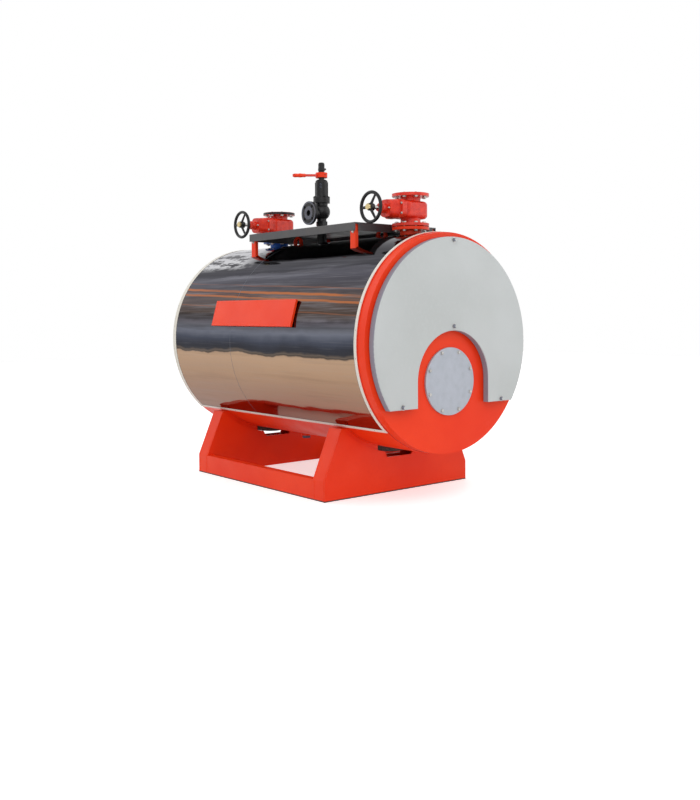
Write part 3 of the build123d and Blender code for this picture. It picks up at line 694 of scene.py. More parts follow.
class Mesh:
    """A mesh under construction, in the row frame."""

    def __init__(self) -> None:
        """Start empty."""
        self.bm = bmesh.new()

    def add(self, other: "Mesh", place: Matrix) -> None:
        """Copy another mesh in at a placement.

        Args:
            other: The mesh to copy.
            place: Where it goes.
        """
        made: dict[bmesh.types.BMVert, bmesh.types.BMVert] = {}
        for vertex in other.bm.verts:
            made[vertex] = self.bm.verts.new(place @ vertex.co)
        for face in other.bm.faces:
            copy = self.bm.faces.new([made[vertex] for vertex in face.verts])
            copy.smooth = face.smooth

    def ring(self, points: Iterable[Vector]) -> Ring:
        """Add a loop of vertices."""
        return [self.bm.verts.new(point) for point in points]

    def skin(self, rings: Sequence[Ring], smooth: bool = True, closed: bool = True) -> None:
        """Join neighbouring rings with quads.

        Args:
            rings: Vertex loops of equal length.
            smooth: Shade the quads smooth.
            closed: Join the last vertex of a ring to its first.
        """
        for low, high in zip(rings, rings[1:]):
            count = len(low)
            for index in range(count if closed else count - 1):
                after = (index + 1) % count
                face = self.bm.faces.new((low[index], low[after], high[after], high[index]))
                face.smooth = smooth

    def cap(self, ring: Ring, flip: bool = False) -> None:
        """Close a ring with one face."""
        self.bm.faces.new(list(reversed(ring)) if flip else ring)

    def solid(self, rings: Sequence[Ring], smooth: bool = False) -> "Mesh":
        """Join rings with quads and close both ends.

        Args:
            rings: Rings of equal count, from one end to the other.
            smooth: Shade across the quads.

        Returns:
            This mesh.
        """
        self.skin(rings, smooth)
        self.cap(rings[0], flip=True)
        self.cap(rings[-1])
        return self

    def lathe(self, profile: Sequence[tuple[float, float]], sides: int = 32, smooth: bool = False) -> "Mesh":
        """Turn a (radius, height) profile about Z and close both ends.

        Args:
            profile: Points from the bottom up, each off the axis.
            sides: Facets round the axis.
            smooth: Shade across the profile's corners.

        Returns:
            This mesh.
        """
        return self.solid([self.ring(circle(*place, sides)) for place in profile], smooth)

    def hexagon(self, flats: float, low: float, high: float, dome: float = 0.0) -> "Mesh":
        """Hexagon head with chamfered corners on top.

        Args:
            flats: Width across flats.
            low: Height of the underside.
            high: Height of the top.
            dome: Extra rise of the middle.

        Returns:
            This mesh.
        """
        top_share, shoulder_share, crown, sides = 0.94, 0.82, 0.35, 24
        corner = flats / math.sqrt(3)
        inner = flats / 2 * top_share
        rings = []
        for height, trim in ((low, 1.0), (low + (high - low) * shoulder_share, 1.0), (high, 0.0)):
            points = []
            for turn in turns(sides):
                offset = (turn % (math.pi / 3)) - math.pi / 6
                flat_radius = flats / 2 / math.cos(offset)
                radius = min(flat_radius, corner) * trim + inner * (1 - trim)
                points.append(Vector((radius * math.cos(turn), radius * math.sin(turn), height)))
            rings.append(self.ring(points))
        self.skin(rings, smooth=False)
        self.cap(rings[0], flip=True)
        top = self.ring(v.co + Vector((-v.co.x * crown, -v.co.y * crown, dome)) for v in rings[-1])
        self.skin([rings[-1], top], smooth=False)
        self.cap(top)
        return self

    def tube(self, path: Sequence[Vector], radius: float, sides: int = 8, ripple: float = 0.0) -> "Mesh":
        """Round bar along points, with closed ends.

        Args:
            path: Points in the row frame.
            radius: Radius of the bar.
            sides: Facets round it.
            ripple: Share of the radius that the bar swells and shrinks by.

        Returns:
            This mesh.
        """
        rings = []
        for index, point in enumerate(path):
            before = path[max(index - 1, 0)]
            after = path[min(index + 1, len(path) - 1)]
            run = (after - before).normalized()
            across = run.orthogonal() if not rings else across - run * across.dot(run)
            across.normalize()
            other = run.cross(across)
            # Two waves whose lengths don't divide make the swelling uneven
            size = radius * (1 + ripple * math.sin(index * 2.1) * math.cos(index * 0.7))
            spokes = [across * math.cos(turn) + other * math.sin(turn) for turn in turns(sides)]
            rings.append(self.ring(point + spoke * size for spoke in spokes))
        return self.solid(rings, smooth=True)

    def hoop(
        self, inner: float, outer: float, low: float, high: float, place: Matrix,
        edge: float = 0.0003, sides: int = 48,
    ) -> "Mesh":
        """Flat ring with broken corners.

        Args:
            inner: Inner radius.
            outer: Outer radius.
            low: Underside along the ring's axis.
            high: Top along the ring's axis.
            place: Placement of the ring's own frame.
            edge: Width of the broken corners.
            sides: Facets round the axis.

        Returns:
            This mesh.
        """
        shoulder = high - edge
        section = (
            (inner, low), (inner, shoulder), (inner + edge, high),
            (outer - edge, high), (outer, shoulder), (outer, low),
        )
        rings = [self.ring(place @ point for point in circle(*corner, sides)) for corner in section]
        self.skin(rings + rings[:1], smooth=False)
        return self

    def placed(self, name: str, material: bpy.types.Material) -> bpy.types.Object:
        """Turn the mesh into an object of the scene.

        Args:
            name: The object's name.
            material: Its only material.

        Returns:
            The object.
        """
        data = bpy.data.meshes.new(name)
        self.bm.to_mesh(data)
        self.bm.free()
        data.materials.append(material)
        made = bpy.data.objects.new(name, data)
        bpy.context.scene.collection.objects.link(made)
        return made

    def piece(self, name: str, slot: Slot, body: Body = Body.BOILER) -> None:
        """Finish the mesh as a piece that rides on a body.

        Args:
            name: The piece's name.
            slot: Where its finish comes from.
            body: The body it moves with.
        """
        bmesh.ops.recalc_face_normals(self.bm, faces=self.bm.faces[:])
        made = self.placed(name, material_of(slot))
        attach(made, body.value)
        log.info("%s: %d faces on %s", name, len(made.data.polygons), body.value)


@dataclass(frozen=True)
class HexBolt:
    """Hexagon bolt or nut with a washer, seated on z = 0 and pointing up."""

    flats: float
    height: float
    washer: float = 0.0
    washer_height: float = 0.002
    stud: float = 0.0
    stud_radius: float = 0.004
    shank: float = 0.0
    overlap: float = 0.001
    dome: float = 0.0004

    def mesh(self) -> Mesh:
        """Build one fastener.

        Returns:
            Its mesh.
        """
        made = Mesh()
        seat = 0.0
        if self.washer:
            seat = self.washer_height
            edge = seat / 4
            profile = [(self.washer, 0.0), (self.washer, seat - edge), (self.washer - edge, seat)]
            made.lathe(profile, sides=28)
        made.hexagon(self.flats, seat, seat + self.height, dome=self.dome)
        if self.stud:
            top = seat + self.height
            tip = top + self.stud
            radius = self.stud_radius
            edge = self.overlap
            made.lathe([(radius, top - edge), (radius, tip - edge), (radius - edge, tip)], sides=16)
        if self.shank:
            profile = [(self.stud_radius, -self.shank), (self.stud_radius, seat + self.overlap)]
            made.lathe(profile, sides=16)
        return made


def fasten(target: Mesh, bolt: HexBolt, spots: Iterable[Point], facing: Facing) -> None:
    """Set one kind of fastener at several places.

    Args:
        target: The mesh that takes them.
        bolt: The fastener.
        spots: Seat points in the row frame.
        facing: Direction the heads point.
    """
    unit = bolt.mesh()
    for index, spot in enumerate(spots):
        twist = Matrix.Rotation(HEAD_STEP * index + HEAD_START, 4, "Z")
        target.add(unit, Matrix.Translation(Vector(spot)) @ facing.value @ twist)
    unit.bm.free()


def bolt_circle(
    target: Mesh, bolt: HexBolt, centre: Point, radius: float, count: int, facing: Facing
) -> None:
    """Set fasteners round a circle, the first one half a step from the X axis.

    Args:
        target: The mesh that takes them.
        bolt: The fastener.
        centre: The circle's centre, at the seat.
        radius: The circle's radius.
        count: How many.
        facing: Direction the heads point, square to the circle.
    """
    x, y, z = centre
    spots = []
    for index in range(count):
        turn = 2 * math.pi * (index + 0.5) / count
        a, b = radius * math.cos(turn), radius * math.sin(turn)
        spots.append((x + a, y + b, z) if facing in (Facing.UP, Facing.DOWN) else (x + a, y, z + b))
    fasten(target, bolt, spots, facing)


@dataclass
class GateValve:
    """Fasteners and cast details of one flanged gate valve."""

    name: str
    y: float
    joint_height: float = 1.440
    face_to_face: float = 0.180
    flange_thickness: float = 0.018
    bolt_radius: float = 0.080
    bolts: int = 8
    flange_bolt: HexBolt = HexBolt(
        0.019, 0.007, washer=0.0125, washer_height=0.0015, shank=0.020, stud_radius=0.006
    )
    flange_nut: HexBolt = HexBolt(
        0.017, 0.006, washer=0.0125, washer_height=0.0015, stud=0.002, stud_radius=0.006
    )
    bonnet_bolt: HexBolt = HexBolt(0.011, 0.005, washer=0.0068, washer_height=0.0012)
    gland_stud: HexBolt = HexBolt(0.010, 0.006, stud=0.006, stud_radius=0.003)
    gland_face: float = -0.182
    gland_spread: float = 0.034
    gasket: tuple[float, float, float] = (0.0405, 0.0675, 0.0015)
    dark_rim: bool = False
    rim: tuple[float, float, float] = (0.0990, 0.10035, 0.0140)
    rim_drop: float = 0.003
    bonnet_face: float = -0.126
    bonnet_half_width: float = 0.0665
    bonnet_rows: tuple[float, ...] = (-0.026, 0.026)

    def flange_joint(self) -> None:
        """Bolts through the lower flanges and bolts waiting in the upper flange."""
        seat = self.joint_height + self.flange_thickness
        under = self.joint_height - self.flange_thickness
        high = self.joint_height + self.face_to_face - self.flange_thickness
        rows = (
            ("joint_bolts", ((seat, self.flange_bolt, Facing.UP), (under, self.flange_nut, Facing.DOWN))),
            ("top_bolts", ((high, self.flange_bolt, Facing.DOWN),)),
        )
        for name, courses in rows:
            bolts = Mesh()
            for height, bolt, facing in courses:
                bolt_circle(bolts, bolt, (0.0, self.y, height), self.bolt_radius, self.bolts, facing)
            bolts.piece(f"{self.name}_{name}", Slot.BARE_STEEL)

    def gasket_and_rim(self) -> None:
        """Fibre gasket left on the open upper flange, and the unpainted rim of the return valve."""
        top = self.joint_height + self.face_to_face
        place = Matrix.Translation((0.0, self.y, top))
        inner, outer, height = self.gasket
        gasket = Mesh().hoop(inner, outer, 0.0, height, place)
        gasket.piece(f"{self.name}_gasket", Slot.ROPE_BLACK)
        if self.dark_rim:
            inner, outer, height = self.rim
            band = Mesh().hoop(inner, outer, -height - self.rim_drop, -self.rim_drop, place)
            band.piece(f"{self.name}_rim", Slot.BLACK_CASTING)

    def bonnet_joint(self) -> None:
        """Small bolts down both sides of the bonnet's flange."""
        axis = self.joint_height + self.face_to_face / 2
        spots = [
            (self.bonnet_face, self.y + side * self.bonnet_half_width, axis + row)
            for side in (-1, 1)
            for row in self.bonnet_rows
        ]
        bolts = Mesh()
        fasten(bolts, self.bonnet_bolt, spots, Facing.LEFT)
        studs = [(self.gland_face, self.y + side * self.gland_spread, axis) for side in (-1, 1)]
        fasten(bolts, self.gland_stud, studs, Facing.LEFT)
        bolts.piece(f"{self.name}_bonnet_bolts", Slot.BARE_STEEL)

    def build(self) -> None:
        """Build the valve's added pieces."""
        self.flange_joint()
        self.gasket_and_rim()
        self.bonnet_joint()


@dataclass
class BurnerEnd:
    """Bolts of the blanking plate and washers of the front cover."""

    plate_face: float = -1.030
    plate_height: float = 0.623
    plate_bolts: float = 0.160
    plate_bolt_count: int = 8
    cover_face: float = -1.060
    plate_bolt: HexBolt = HexBolt(0.015, 0.006, washer=0.0095)
    cover_washer: tuple[float, float, float] = (0.0100, 0.0140, 0.0020)
    cover_spots: tuple[tuple[float, float], ...] = (
        (0.0, 1.352), (0.0, 0.909), (-0.360, 0.513), (0.360, 0.513),
    )

    def build(self) -> None:
        """Build the bolts and the washers under the cover's nuts."""
        bolts = Mesh()
        centre = (0.0, self.plate_face, self.plate_height)
        bolt_circle(bolts, self.plate_bolt, centre, self.plate_bolts, self.plate_bolt_count, Facing.FRONT)
        bolts.piece("burner_plate_bolts", Slot.BARE_STEEL)
        washers = Mesh()
        inner, outer, height = self.cover_washer
        for x, z in self.cover_spots:
            place = Matrix.Translation((x, self.cover_face, z)) @ Facing.FRONT.value
            washers.hoop(inner, outer, 0.0, height, place, sides=32)
        washers.piece("front_cover_washers", Slot.BARE_STEEL)


@dataclass
class FlueEnd:
    """Nuts of the rear cover."""

    cover_face: float = 0.930
    nut_radius: float = 0.478
    count: int = 8
    nut: HexBolt = HexBolt(0.017, 0.008, washer=0.0125, stud=0.006, stud_radius=0.005)

    def build(self) -> None:
        """Build the nuts."""
        nuts = Mesh()
        centre = (0.0, self.cover_face, AXIS_HEIGHT)
        bolt_circle(nuts, self.nut, centre, self.nut_radius, self.count, Facing.REAR)
        nuts.piece("rear_cover_nuts", Slot.BARE_STEEL)


@dataclass
class Wrap:
    """Sheet joint, widened edging and rivets of the polished wrap."""

    edge_angle: float = math.radians(49)
    joint: float = 0.170
    joint_half: float = 0.0014
    front: float = -0.965
    rear: float = 0.835
    lip: float = 0.0115
    front_trim: float = 0.0190
    rear_trim: float = 0.0340
    trim_rise: float = 0.00145
    foot_trim: tuple[float, float] = (0.0105, 0.0165)
    # Width and rise of the dark lines of painted shade beside the edging
    shade_line: float = 0.0022
    shade_line_rise: float = 0.0006
    joint_rise: float = 0.0004
    sink: float = 0.0001
    band_ease: float = 0.001
    band_steps: int = 168
    strip_ease: float = 0.0005
    strip_steps: int = 60
    rivet: tuple[tuple[float, float], ...] = (
        (0.0030, 0.0), (0.0029, 0.0007), (0.0020, 0.0013), (0.0008, 0.0016),
    )
    rivets_round: int = 21
    rivets_along: int = 11
    rivet_inset: float = 0.007
    rivet_margin: float = 0.09
    rivet_lift: float = 0.010
    rivet_end: float = 0.03

    def point(self, y: float, turn: float, rise: float) -> Vector:
        """A point on the wrap, turn measured from +X over the top."""
        reach = WRAP_RADIUS + rise
        return Vector((reach * math.cos(turn), y, AXIS_HEIGHT + reach * math.sin(turn)))

    def hoop_band(self, name: str, slot: Slot, start: float, end: float, rise: float) -> None:
        """Thin raised band round the wrap, from one lower edge over the top to the other.

        Args:
            name: The piece's name.
            slot: Where its finish comes from.
            start: Y of its front edge.
            end: Y of its rear edge.
            rise: How far it stands off the wrap.
        """
        band = Mesh()
        ease = min(self.band_ease, (end - start) / 4)
        span = math.pi + 2 * self.edge_angle
        places = [-self.edge_angle + span * s / self.band_steps for s in range(self.band_steps + 1)]
        rings = []
        for y, lift in ((start, 0.0), (start + ease, rise), (end - ease, rise), (end, 0.0)):
            rings.append(band.ring(self.point(y, turn, lift - self.sink) for turn in places))
        band.skin(rings, closed=False)
        band.piece(name, slot)

    def foot_band(self, name: str, slot: Slot, low: float, high: float, rise: float) -> None:
        """Thin raised strip along both lower edges of the wrap.

        Args:
            name: The piece's name.
            slot: Where its finish comes from.
            low: Distance of its lower side from the wrap's edge.
            high: Distance of its upper side from the wrap's edge.
            rise: How far it stands off the wrap.
        """
        strip = Mesh()
        ease, steps = self.strip_ease, self.strip_steps
        length = self.rear - self.front - 2 * self.lip
        ys = [self.front + self.lip + length * s / steps for s in range(steps + 1)]
        for base, sign in ((-self.edge_angle, 1.0), (math.pi + self.edge_angle, -1.0)):
            rings = []
            for reach, lift in ((low, 0.0), (low + ease, rise), (high - ease, rise), (high, 0.0)):
                turn = base + sign * reach / WRAP_RADIUS
                rings.append(strip.ring(self.point(y, turn, lift - self.sink) for y in ys))
            strip.skin(rings, closed=False)
        strip.piece(name, slot)

    def edging(self) -> None:
        """Widen the folded edging to its full width, with a dark line beside it that is painted shade along
        the edging's edge.
        """
        front, rear = self.front + self.front_trim, self.rear - self.rear_trim
        white, dark = Slot.EDGING_WHITE, Slot.ROPE_BLACK
        top = self.foot_trim[1]
        self.hoop_band("front_edging_trim", white, self.front + self.lip, front, self.trim_rise)
        self.hoop_band("rear_edging_trim", white, rear, self.rear - self.lip, self.trim_rise)
        self.foot_band("lower_edging_trim", white, *self.foot_trim, self.trim_rise)
        # Painted shade: thin dark lines along the edging trims
        self.hoop_band("front_edging_shade_line", dark, front, front + self.shade_line, self.shade_line_rise)
        self.hoop_band("rear_edging_shade_line", dark, rear - self.shade_line, rear, self.shade_line_rise)
        self.foot_band("lower_edging_shade_line", dark, top, top + self.shade_line, self.shade_line_rise)

    def rivets(self) -> None:
        """Blind rivets along the edging strips."""
        rivet = Mesh().lathe(self.rivet, sides=14, smooth=True)
        row = Mesh()
        spots = []
        first = self.rivet_end - self.edge_angle
        span = math.pi + 2 * self.edge_angle - 2 * self.rivet_end
        for y in (self.front + self.rivet_inset, self.rear - self.rivet_inset):
            spots += [(y, first + span * s / (self.rivets_round - 1)) for s in range(self.rivets_round)]
        pitch = (self.rear - self.front - 2 * self.rivet_margin) / (self.rivets_along - 1)
        for turn in (self.rivet_lift - self.edge_angle, math.pi + self.edge_angle - self.rivet_lift):
            spots += [(self.front + self.rivet_margin + pitch * s, turn) for s in range(self.rivets_along)]
        for y, turn in spots:
            lean = Matrix.Rotation(turn, 4, (0, -1, 0)) @ Facing.RIGHT.value
            row.add(rivet, Matrix.Translation(self.point(y, turn, self.trim_rise)) @ lean)
        rivet.bm.free()
        row.piece("edging_rivets", Slot.BARE_STEEL)

    def build(self) -> None:
        """Build the sheet joint, edging and rivets."""
        start, end = self.joint - self.joint_half, self.joint + self.joint_half
        self.hoop_band("wrap_joint", Slot.MILL_STEEL, start, end, self.joint_rise)
        self.edging()
        self.rivets()


@dataclass
class SafetyValve:
    """Joint bolts, ribs, spring, cap and lever details of the safety valve."""

    y: float = 0.045
    joint_height: float = 1.656
    flange: float = 0.016
    bolt_radius: float = 0.0435
    bolts: int = 6
    bolt: HexBolt = HexBolt(0.013, 0.007, stud=0.004, stud_radius=0.0038)
    housing_radius: float = 0.036
    housing_low: float = 1.676
    housing_high: float = 1.768
    window_bearing: float = math.radians(222)
    window_height: float = 1.743
    window_half: float = 0.017
    rib: tuple[float, float] = (0.0040, 0.0032)
    rib_root: float = 0.0015
    rib_ease: float = 0.006
    rib_fade: float = 0.3
    rib_taper: tuple[float, float] = (1.4, 0.6)
    ribs: int = 6
    spring_turns: int = 4
    spring_steps: int = 12
    spring_wire: float = 0.0024
    spring_depth: float = 0.0055
    spring_pitch: float = 0.004
    window_spread: float = 0.62
    outlet_face: float = -0.100
    outlet_height: float = 1.576
    outlet_rings: tuple[tuple[float, float], ...] = ((0.0180, 0.0400), (0.0600, 0.0695))
    collar: tuple[tuple[float, float], ...] = (
        (0.0176, 1.8320), (0.0205, 1.8345), (0.0205, 1.8500), (0.0190, 1.8520),
        (0.0190, 1.8740), (0.0170, 1.8800), (0.0120, 1.8835),
    )
    collar_sides: int = 48
    flute_depth: float = 0.0008
    flute_spacing: int = 4
    pivot_height: float = 1.808
    droop: float = math.radians(5)
    grip: tuple[tuple[float, float], ...] = (
        (0.0078, 0.118), (0.0106, 0.126), (0.0108, 0.148), (0.0122, 0.158), (0.0122, 0.164),
        (0.0108, 0.172), (0.0110, 0.192), (0.0116, 0.200), (0.0094, 0.208), (0.0040, 0.212),
    )
    band: tuple[float, float, float] = (0.0335, 0.0358, 0.0150)

    def joint(self) -> None:
        """Bolts through the body and spring housing flanges."""
        bolts = Mesh()
        top = (0.0, self.y, self.joint_height + self.flange)
        bolt_circle(bolts, self.bolt, top, self.bolt_radius, self.bolts, Facing.UP)
        bolts.piece("safety_valve_joint_bolts", Slot.BLACK_CASTING)

    def cast_ribs(self) -> None:
        """Cast ribs up the spring housing."""
        ribs = Mesh()
        proud, half = self.rib
        ease, fade = self.rib_ease, self.rib_fade
        top = self.housing_high - self.housing_low
        sections = ((0.0, fade), (ease, 1.0), (top - ease, 1.0), (top, fade))
        for index in range(self.ribs):
            bearing = self.window_bearing + math.pi / self.ribs * (2 * index + 1)
            out = Vector((math.cos(bearing), math.sin(bearing), 0.0))
            side = Vector((-out.y, out.x, 0.0)) * half
            wide, narrow = (side * taper for taper in self.rib_taper)
            rings = []
            for rise, share in sections:
                middle = Vector((0.0, self.y, self.housing_low + rise))
                foot = middle + out * (self.housing_radius - self.rib_root)
                crest = foot + out * (self.rib_root + proud * share)
                rings.append(ribs.ring((foot - wide, crest - narrow, crest + narrow, foot + wide)))
            ribs.solid(rings)
        ribs.piece("spring_housing_ribs", Slot.BLACK_CASTING)

    def window_spring(self) -> None:
        """The spring's turns in the housing's window."""
        spring = Mesh()
        reach = self.housing_radius - self.spring_depth
        for index in range(self.spring_turns):
            share = (index + 0.5) / self.spring_turns
            middle = self.window_height - self.window_half + 2 * self.window_half * share
            path = []
            for step in range(self.spring_steps + 1):
                lean = (step / self.spring_steps - 0.5) * self.window_spread
                bearing = self.window_bearing + lean
                x, y = reach * math.cos(bearing), self.y + reach * math.sin(bearing)
                path.append(Vector((x, y, middle + lean * self.spring_pitch)))
            spring.tube(path, self.spring_wire, sides=10)
        spring.piece("safety_valve_spring", Slot.MILL_STEEL)

    def outlet(self) -> None:
        """Machined rings on the face of the outlet flange."""
        rings = Mesh()
        place = Matrix.Translation((self.outlet_face, self.y, self.outlet_height)) @ Facing.LEFT.value
        for inner, outer in self.outlet_rings:
            rings.hoop(inner, outer, -0.0002, 0.0006, place)
        rings.piece("outlet_flange_facing", Slot.MILL_STEEL)

    def cap(self) -> None:
        """Fluted collar round the cap."""
        collar = Mesh()
        rings = []
        for radius, height in self.collar:
            ring = []
            for step, turn in enumerate(turns(self.collar_sides)):
                reach = radius - (0.0 if step % self.flute_spacing else self.flute_depth)
                ring.append(Vector((reach * math.cos(turn), self.y + reach * math.sin(turn), height)))
            rings.append(collar.ring(ring))
        collar.solid(rings)
        collar.piece("safety_valve_cap_collar", Slot.BLACK_CASTING)

    def lever(self) -> None:
        """Turned grip on the lifting lever and the deep band round its ring."""
        inner, outer, half = self.band
        pivot = Matrix.Translation((0.0, self.y, self.pivot_height))
        band = Mesh().hoop(inner, outer, -half, half, pivot, edge=0.001)
        band.piece("lever_ring_band", Slot.RED_PAINT, Body.LEVER)
        turned = Mesh().lathe(self.grip, sides=28, smooth=True)
        along = Matrix.Rotation(-math.pi / 2 - self.droop, 4, "Y")
        grip = Mesh()
        grip.add(turned, pivot @ along)
        turned.bm.free()
        grip.piece("lever_grip", Slot.RED_PAINT, Body.LEVER)

    def build(self) -> None:
        """Build the safety valve's added pieces."""
        self.joint()
        self.cast_ribs()
        self.window_spring()
        self.outlet()
        self.cap()
        self.lever()


@dataclass
class NamePanel:
    """Folded rim behind the bare red panel, which leans with the wrap."""

    front: float = -0.440
    rear: float = 0.350
    middle_height: float = 0.981
    back: float = 0.592
    half: float = 0.0745
    depth: float = 0.010
    sheet: float = 0.0015

    def build(self) -> None:
        """Build the rim as one folded strip round the panel's back."""
        rim = Mesh()
        near = self.back - self.depth
        section = ((0.0, self.back), (0.0, near), (self.sheet, near), (self.sheet, self.back))
        rings = [rim.ring(self.corners(reach, inset)) for inset, reach in section]
        rim.skin(rings + rings[:1], smooth=False)
        rim.piece("name_panel_rim", Slot.RED_PAINT)

    def corners(self, reach: float, inset: float) -> list[Vector]:
        """Corners of the rim at one distance from the barrel's axis.

        Args:
            reach: Distance from the axis, square to the panel.
            inset: Distance inside the panel's outline.

        Returns:
            The four corners in order.
        """
        lean = math.asin((self.middle_height - AXIS_HEIGHT) / self.back)
        out = Vector((-math.cos(lean), 0.0, math.sin(lean)))
        up = Vector((math.sin(lean), 0.0, math.cos(lean)))
        foot = Vector((0.0, 0.0, AXIS_HEIGHT)) + out * reach
        front, rear = self.front + inset, self.rear - inset
        rise = self.half - inset
        spots = ((front, -rise), (rear, -rise), (rear, rise), (front, rise))
        return [foot + up * height + Vector((0.0, y, 0.0)) for y, height in spots]


@dataclass
class Skid:
    """Weld beads of the skid, with dark saddle pads and a dark foot strip that are painted shade."""

    half_width: float = 0.525
    side_height: float = 0.110
    shoulder: tuple[float, float] = (0.413, 0.372)
    plates: tuple[float, ...] = (-0.640, -0.540, 0.525, 0.625)
    bead: float = 0.0028
    bead_inset: float = 0.001
    bead_end: float = 0.004
    bead_steps: int = 28
    pad: tuple[float, float] = (0.5784, 0.6035)
    pad_angle: float = math.radians(14.3)
    plate: float = 0.010
    pad_steps: int = 24
    strip: tuple[float, float, float] = (0.0006, 0.0040, 0.0060)
    strip_foot: float = 0.0003

    def pads(self) -> None:
        """Pads that fill the gap between the barrel and the middle of each saddle, dark as painted shade of
        the gap under the barrel.
        """
        dark_gap_fill = Mesh()
        inner, outer = self.pad
        for start, end in zip(self.plates[::2], self.plates[1::2]):
            near, far = start + self.plate, end - self.plate
            section = ((inner, near), (outer, near), (outer, far), (inner, far))
            rings = []
            for step in range(self.pad_steps + 1):
                turn = self.pad_angle * (2 * step / self.pad_steps - 1)
                across, down = math.sin(turn), math.cos(turn)
                rings.append(dark_gap_fill.ring(Vector((r * across, y, AXIS_HEIGHT - r * down)) for r, y in section))
            dark_gap_fill.solid(rings)
        # The pads fill a real gap; their dark finish is painted shade under the barrel
        dark_gap_fill.piece("saddle_pads", Slot.ROPE_BLACK)

    def foot_shadow_strip(self) -> None:
        """Dark strip round the foot of the skid, painted contact shadow along the floor line."""
        strip = Mesh()
        proud, inside, top = self.strip
        rings = []
        foot = self.strip_foot
        for inset, height in ((-proud, foot), (-proud, top), (inside, top), (inside, foot)):
            x = self.half_width - inset
            ys = (self.plates[0] + inset, self.plates[3] - inset)
            corners = ((-x, ys[0]), (x, ys[0]), (x, ys[1]), (-x, ys[1]))
            rings.append(strip.ring(Vector((a, b, height)) for a, b in corners))
        strip.skin(rings + rings[:1], smooth=False)
        # Painted contact shadow: a thin dark band round the skid's foot
        strip.piece("skid_foot_shadow_strip", Slot.ROPE_BLACK)

    def beads(self) -> None:
        """Build one bead along each outer corner of the saddles."""
        beads = Mesh()
        outer = self.half_width - self.bead_inset
        shoulder = (self.shoulder[0] - self.bead_inset, self.shoulder[1] - self.bead_end)
        corners = ((outer, self.bead_end), (outer, self.side_height), shoulder)
        for y in self.plates:
            inward = self.plate if y in self.plates[::2] else -self.plate
            for side in (-1, 1):
                path = []
                for (x0, z0), (x1, z1) in zip(corners, corners[1:]):
                    for step in range(self.bead_steps):
                        x = x0 + (x1 - x0) * step / self.bead_steps
                        path.append(Vector((side * x, y + inward, z0 + (z1 - z0) * step / self.bead_steps)))
                beads.tube(path, self.bead, sides=6, ripple=0.25)
        beads.piece("skid_weld_beads", Slot.RED_PAINT)

    def build(self) -> None:
        """Build the skid's added pieces."""
        self.beads()
        self.pads()
        self.foot_shadow_strip()


@dataclass
class Platform:
    """Bolts that hold the platform to its legs."""

    half_width: float = 0.290
    height: float = 1.412
    leg_ys: tuple[float, ...] = (-0.598, 0.351)
    bolt: HexBolt = HexBolt(0.013, 0.005, washer=0.009, washer_height=0.0015)

    def build(self) -> None:
        """Build one bolt on each leg's outer face."""
        bolts = Mesh()
        for x, facing in ((-self.half_width, Facing.LEFT), (self.half_width, Facing.RIGHT)):
            fasten(bolts, self.bolt, [(x, y, self.height) for y in self.leg_ys], facing)
        bolts.piece("leg_bolts", Slot.BARE_STEEL)


@dataclass
class PhotoCamera:
    """Camera at the photograph's viewpoint."""

    location: Point = (-3.45598, -4.40157, 0.98768)
    heading: float = math.radians(-39.55)
    pitch: float = math.radians(-1.764)
    roll: float = math.radians(-0.325)
    focal_pixels: float = 928.92
    image_height: float = 800.0
    image_middle: float = 340.0
    sensor: float = 36.0

    def build(self) -> None:
        """Place the camera and make it the scene's."""
        sine, cosine = math.sin(self.heading), math.cos(self.heading)
        level = math.cos(self.pitch)
        ahead = Vector((-sine * level, cosine * level, math.sin(self.pitch)))
        right = Vector((cosine, sine, 0.0))
        above = right.cross(ahead)
        east = right * math.cos(self.roll) + above * math.sin(self.roll)
        north = above * math.cos(self.roll) - right * math.sin(self.roll)
        data = bpy.data.cameras.new("photo_camera")
        data.sensor_width = self.sensor
        data.lens = self.focal_pixels / self.image_height * self.sensor
        data.shift_y = (self.image_middle - self.image_height / 2) / self.image_height
        camera = bpy.data.objects.new("photo_camera", data)
        turn = Matrix((east, north, -ahead)).transposed().to_4x4()
        camera.matrix_world = Matrix.Translation(Vector(self.location)) @ turn
        bpy.context.scene.collection.objects.link(camera)
        bpy.context.scene.camera = camera


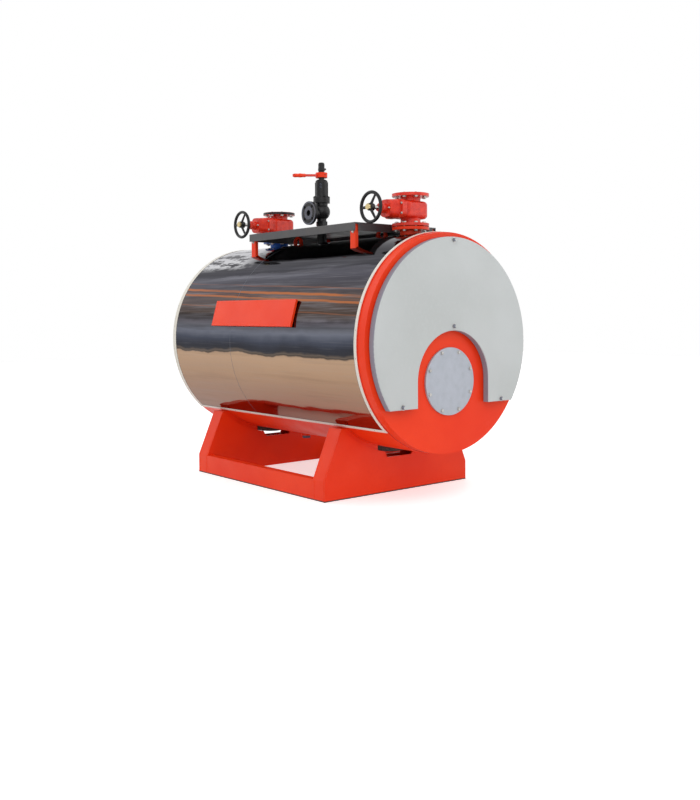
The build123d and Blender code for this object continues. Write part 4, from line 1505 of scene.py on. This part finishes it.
@dataclass
class Studio:
    """Pale floor, white surroundings and soft lamps."""

    floor_tone: Colour = (0.90, 0.90, 0.90)
    world_strength: float = 0.72
    camera_glow: float = 0.50
    mirror_glow: float = 0.26
    floor_half: float = 14.0
    lamps: tuple[tuple[str, Point, Point, float, float], ...] = (
        ("key_lamp", (-3.2, -4.6, 4.6), (0.0, 0.0, 0.8), 5.2, 88.0),
        ("fill_lamp", (3.8, -4.0, 3.2), (0.0, 0.0, 0.8), 4.2, 44.0),
        ("back_lamp", (-2.5, 4.5, 4.2), (0.0, 0.0, 0.8), 4.0, 42.0),
    )

    def floor(self) -> None:
        """Lay the floor."""
        ground = Mesh()
        half = self.floor_half
        corners = ((-half, -half), (half, -half), (half, half), (-half, half))
        ground.cap(ground.ring(Vector((x, y, 0.0)) for x, y in corners))
        bench = Bench("studio_floor")
        paler = tuple(channel * 1.01 for channel in self.floor_tone)
        bench.feed(Base_Color=bench.blend(bench.noise(0.6, 2.0), self.floor_tone, paler))
        bench.set(Roughness=0.5, Specular_IOR_Level=0.1)
        self.add_glow(bench)
        floor = ground.placed("floor", bench.material)

    def add_glow(self, bench: Bench) -> None:
        """Lift the floor to white for the camera, reflections and glass, so it gives no light.

        Args:
            bench: The floor material's bench.
        """
        paths = bench.node("ShaderNodeLightPath").outputs
        mirrored = bench.maths("MAXIMUM", paths["Is Glossy Ray"], paths["Is Transmission Ray"])
        direct = bench.times(paths["Is Camera Ray"], self.camera_glow)
        glow = bench.node("ShaderNodeEmission")
        strength = bench.maths("MAXIMUM", direct, bench.times(mirrored, self.mirror_glow))
        bench.link(strength, glow.inputs["Strength"])
        both = bench.node("ShaderNodeAddShader")
        bench.link(bench.shader.outputs["BSDF"], both.inputs[0])
        bench.link(glow.outputs["Emission"], both.inputs[1])
        bench.link(both.outputs["Shader"], bench.output.inputs["Surface"])

    def world(self) -> None:
        """White surroundings: full white to the camera and in reflections, softer as light."""
        world = bpy.data.worlds.new("studio")
        world.use_nodes = True
        nodes = Nodes(world.node_tree)
        paths = nodes.node("ShaderNodeLightPath").outputs
        seen = nodes.maths("MAXIMUM", paths["Is Camera Ray"], paths["Is Glossy Ray"])
        seen = nodes.maths("MAXIMUM", seen, paths["Is Transmission Ray"])
        mix = nodes.node("ShaderNodeMixShader")
        nodes.link(seen, mix.inputs["Fac"])
        for index, strength in ((1, self.world_strength), (2, 1.0)):
            background = nodes.node("ShaderNodeBackground")
            background.inputs["Color"].default_value = (1.0, 1.0, 1.0, 1.0)
            background.inputs["Strength"].default_value = strength
            nodes.link(background.outputs[0], mix.inputs[index])
        nodes.link(mix.outputs[0], nodes.node("ShaderNodeOutputWorld").inputs["Surface"])
        bpy.context.scene.world = world

    def build(self) -> None:
        """Build the floor, world and lamps."""
        self.floor()
        self.world()
        for name, place, aim, size, power in self.lamps:
            data = bpy.data.lights.new(name, "AREA")
            data.shape = "SQUARE"
            data.size = size
            data.energy = power
            lamp = bpy.data.objects.new(name, data)
            lamp.location = place
            lamp.rotation_euler = (Vector(aim) - Vector(place)).to_track_quat("-Z", "Y").to_euler()
            bpy.context.scene.collection.objects.link(lamp)
        bpy.context.scene.view_settings.view_transform = "Standard"


def main() -> None:
    """Build the studio, the finishes and every sub-assembly in order."""
    logging.basicConfig(level=logging.INFO, format="%(message)s")
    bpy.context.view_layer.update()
    PhotoCamera().build()
    Studio().build()
    log.info("camera and studio ready")
    log.info("finishes on %d nodes", dress_nodes())
    assemblies = [
        GateValve("flow_valve", -0.735),
        GateValve("return_valve", 0.490, dark_rim=True),
        BurnerEnd(),
        FlueEnd(),
        Wrap(),
        SafetyValve(),
        NamePanel(),
        Skid(),
        Platform(),
    ]
    for assembly in assemblies:
        assembly.build()
        log.info("%s built", type(assembly).__name__)


if __name__ == "__main__":
    main()
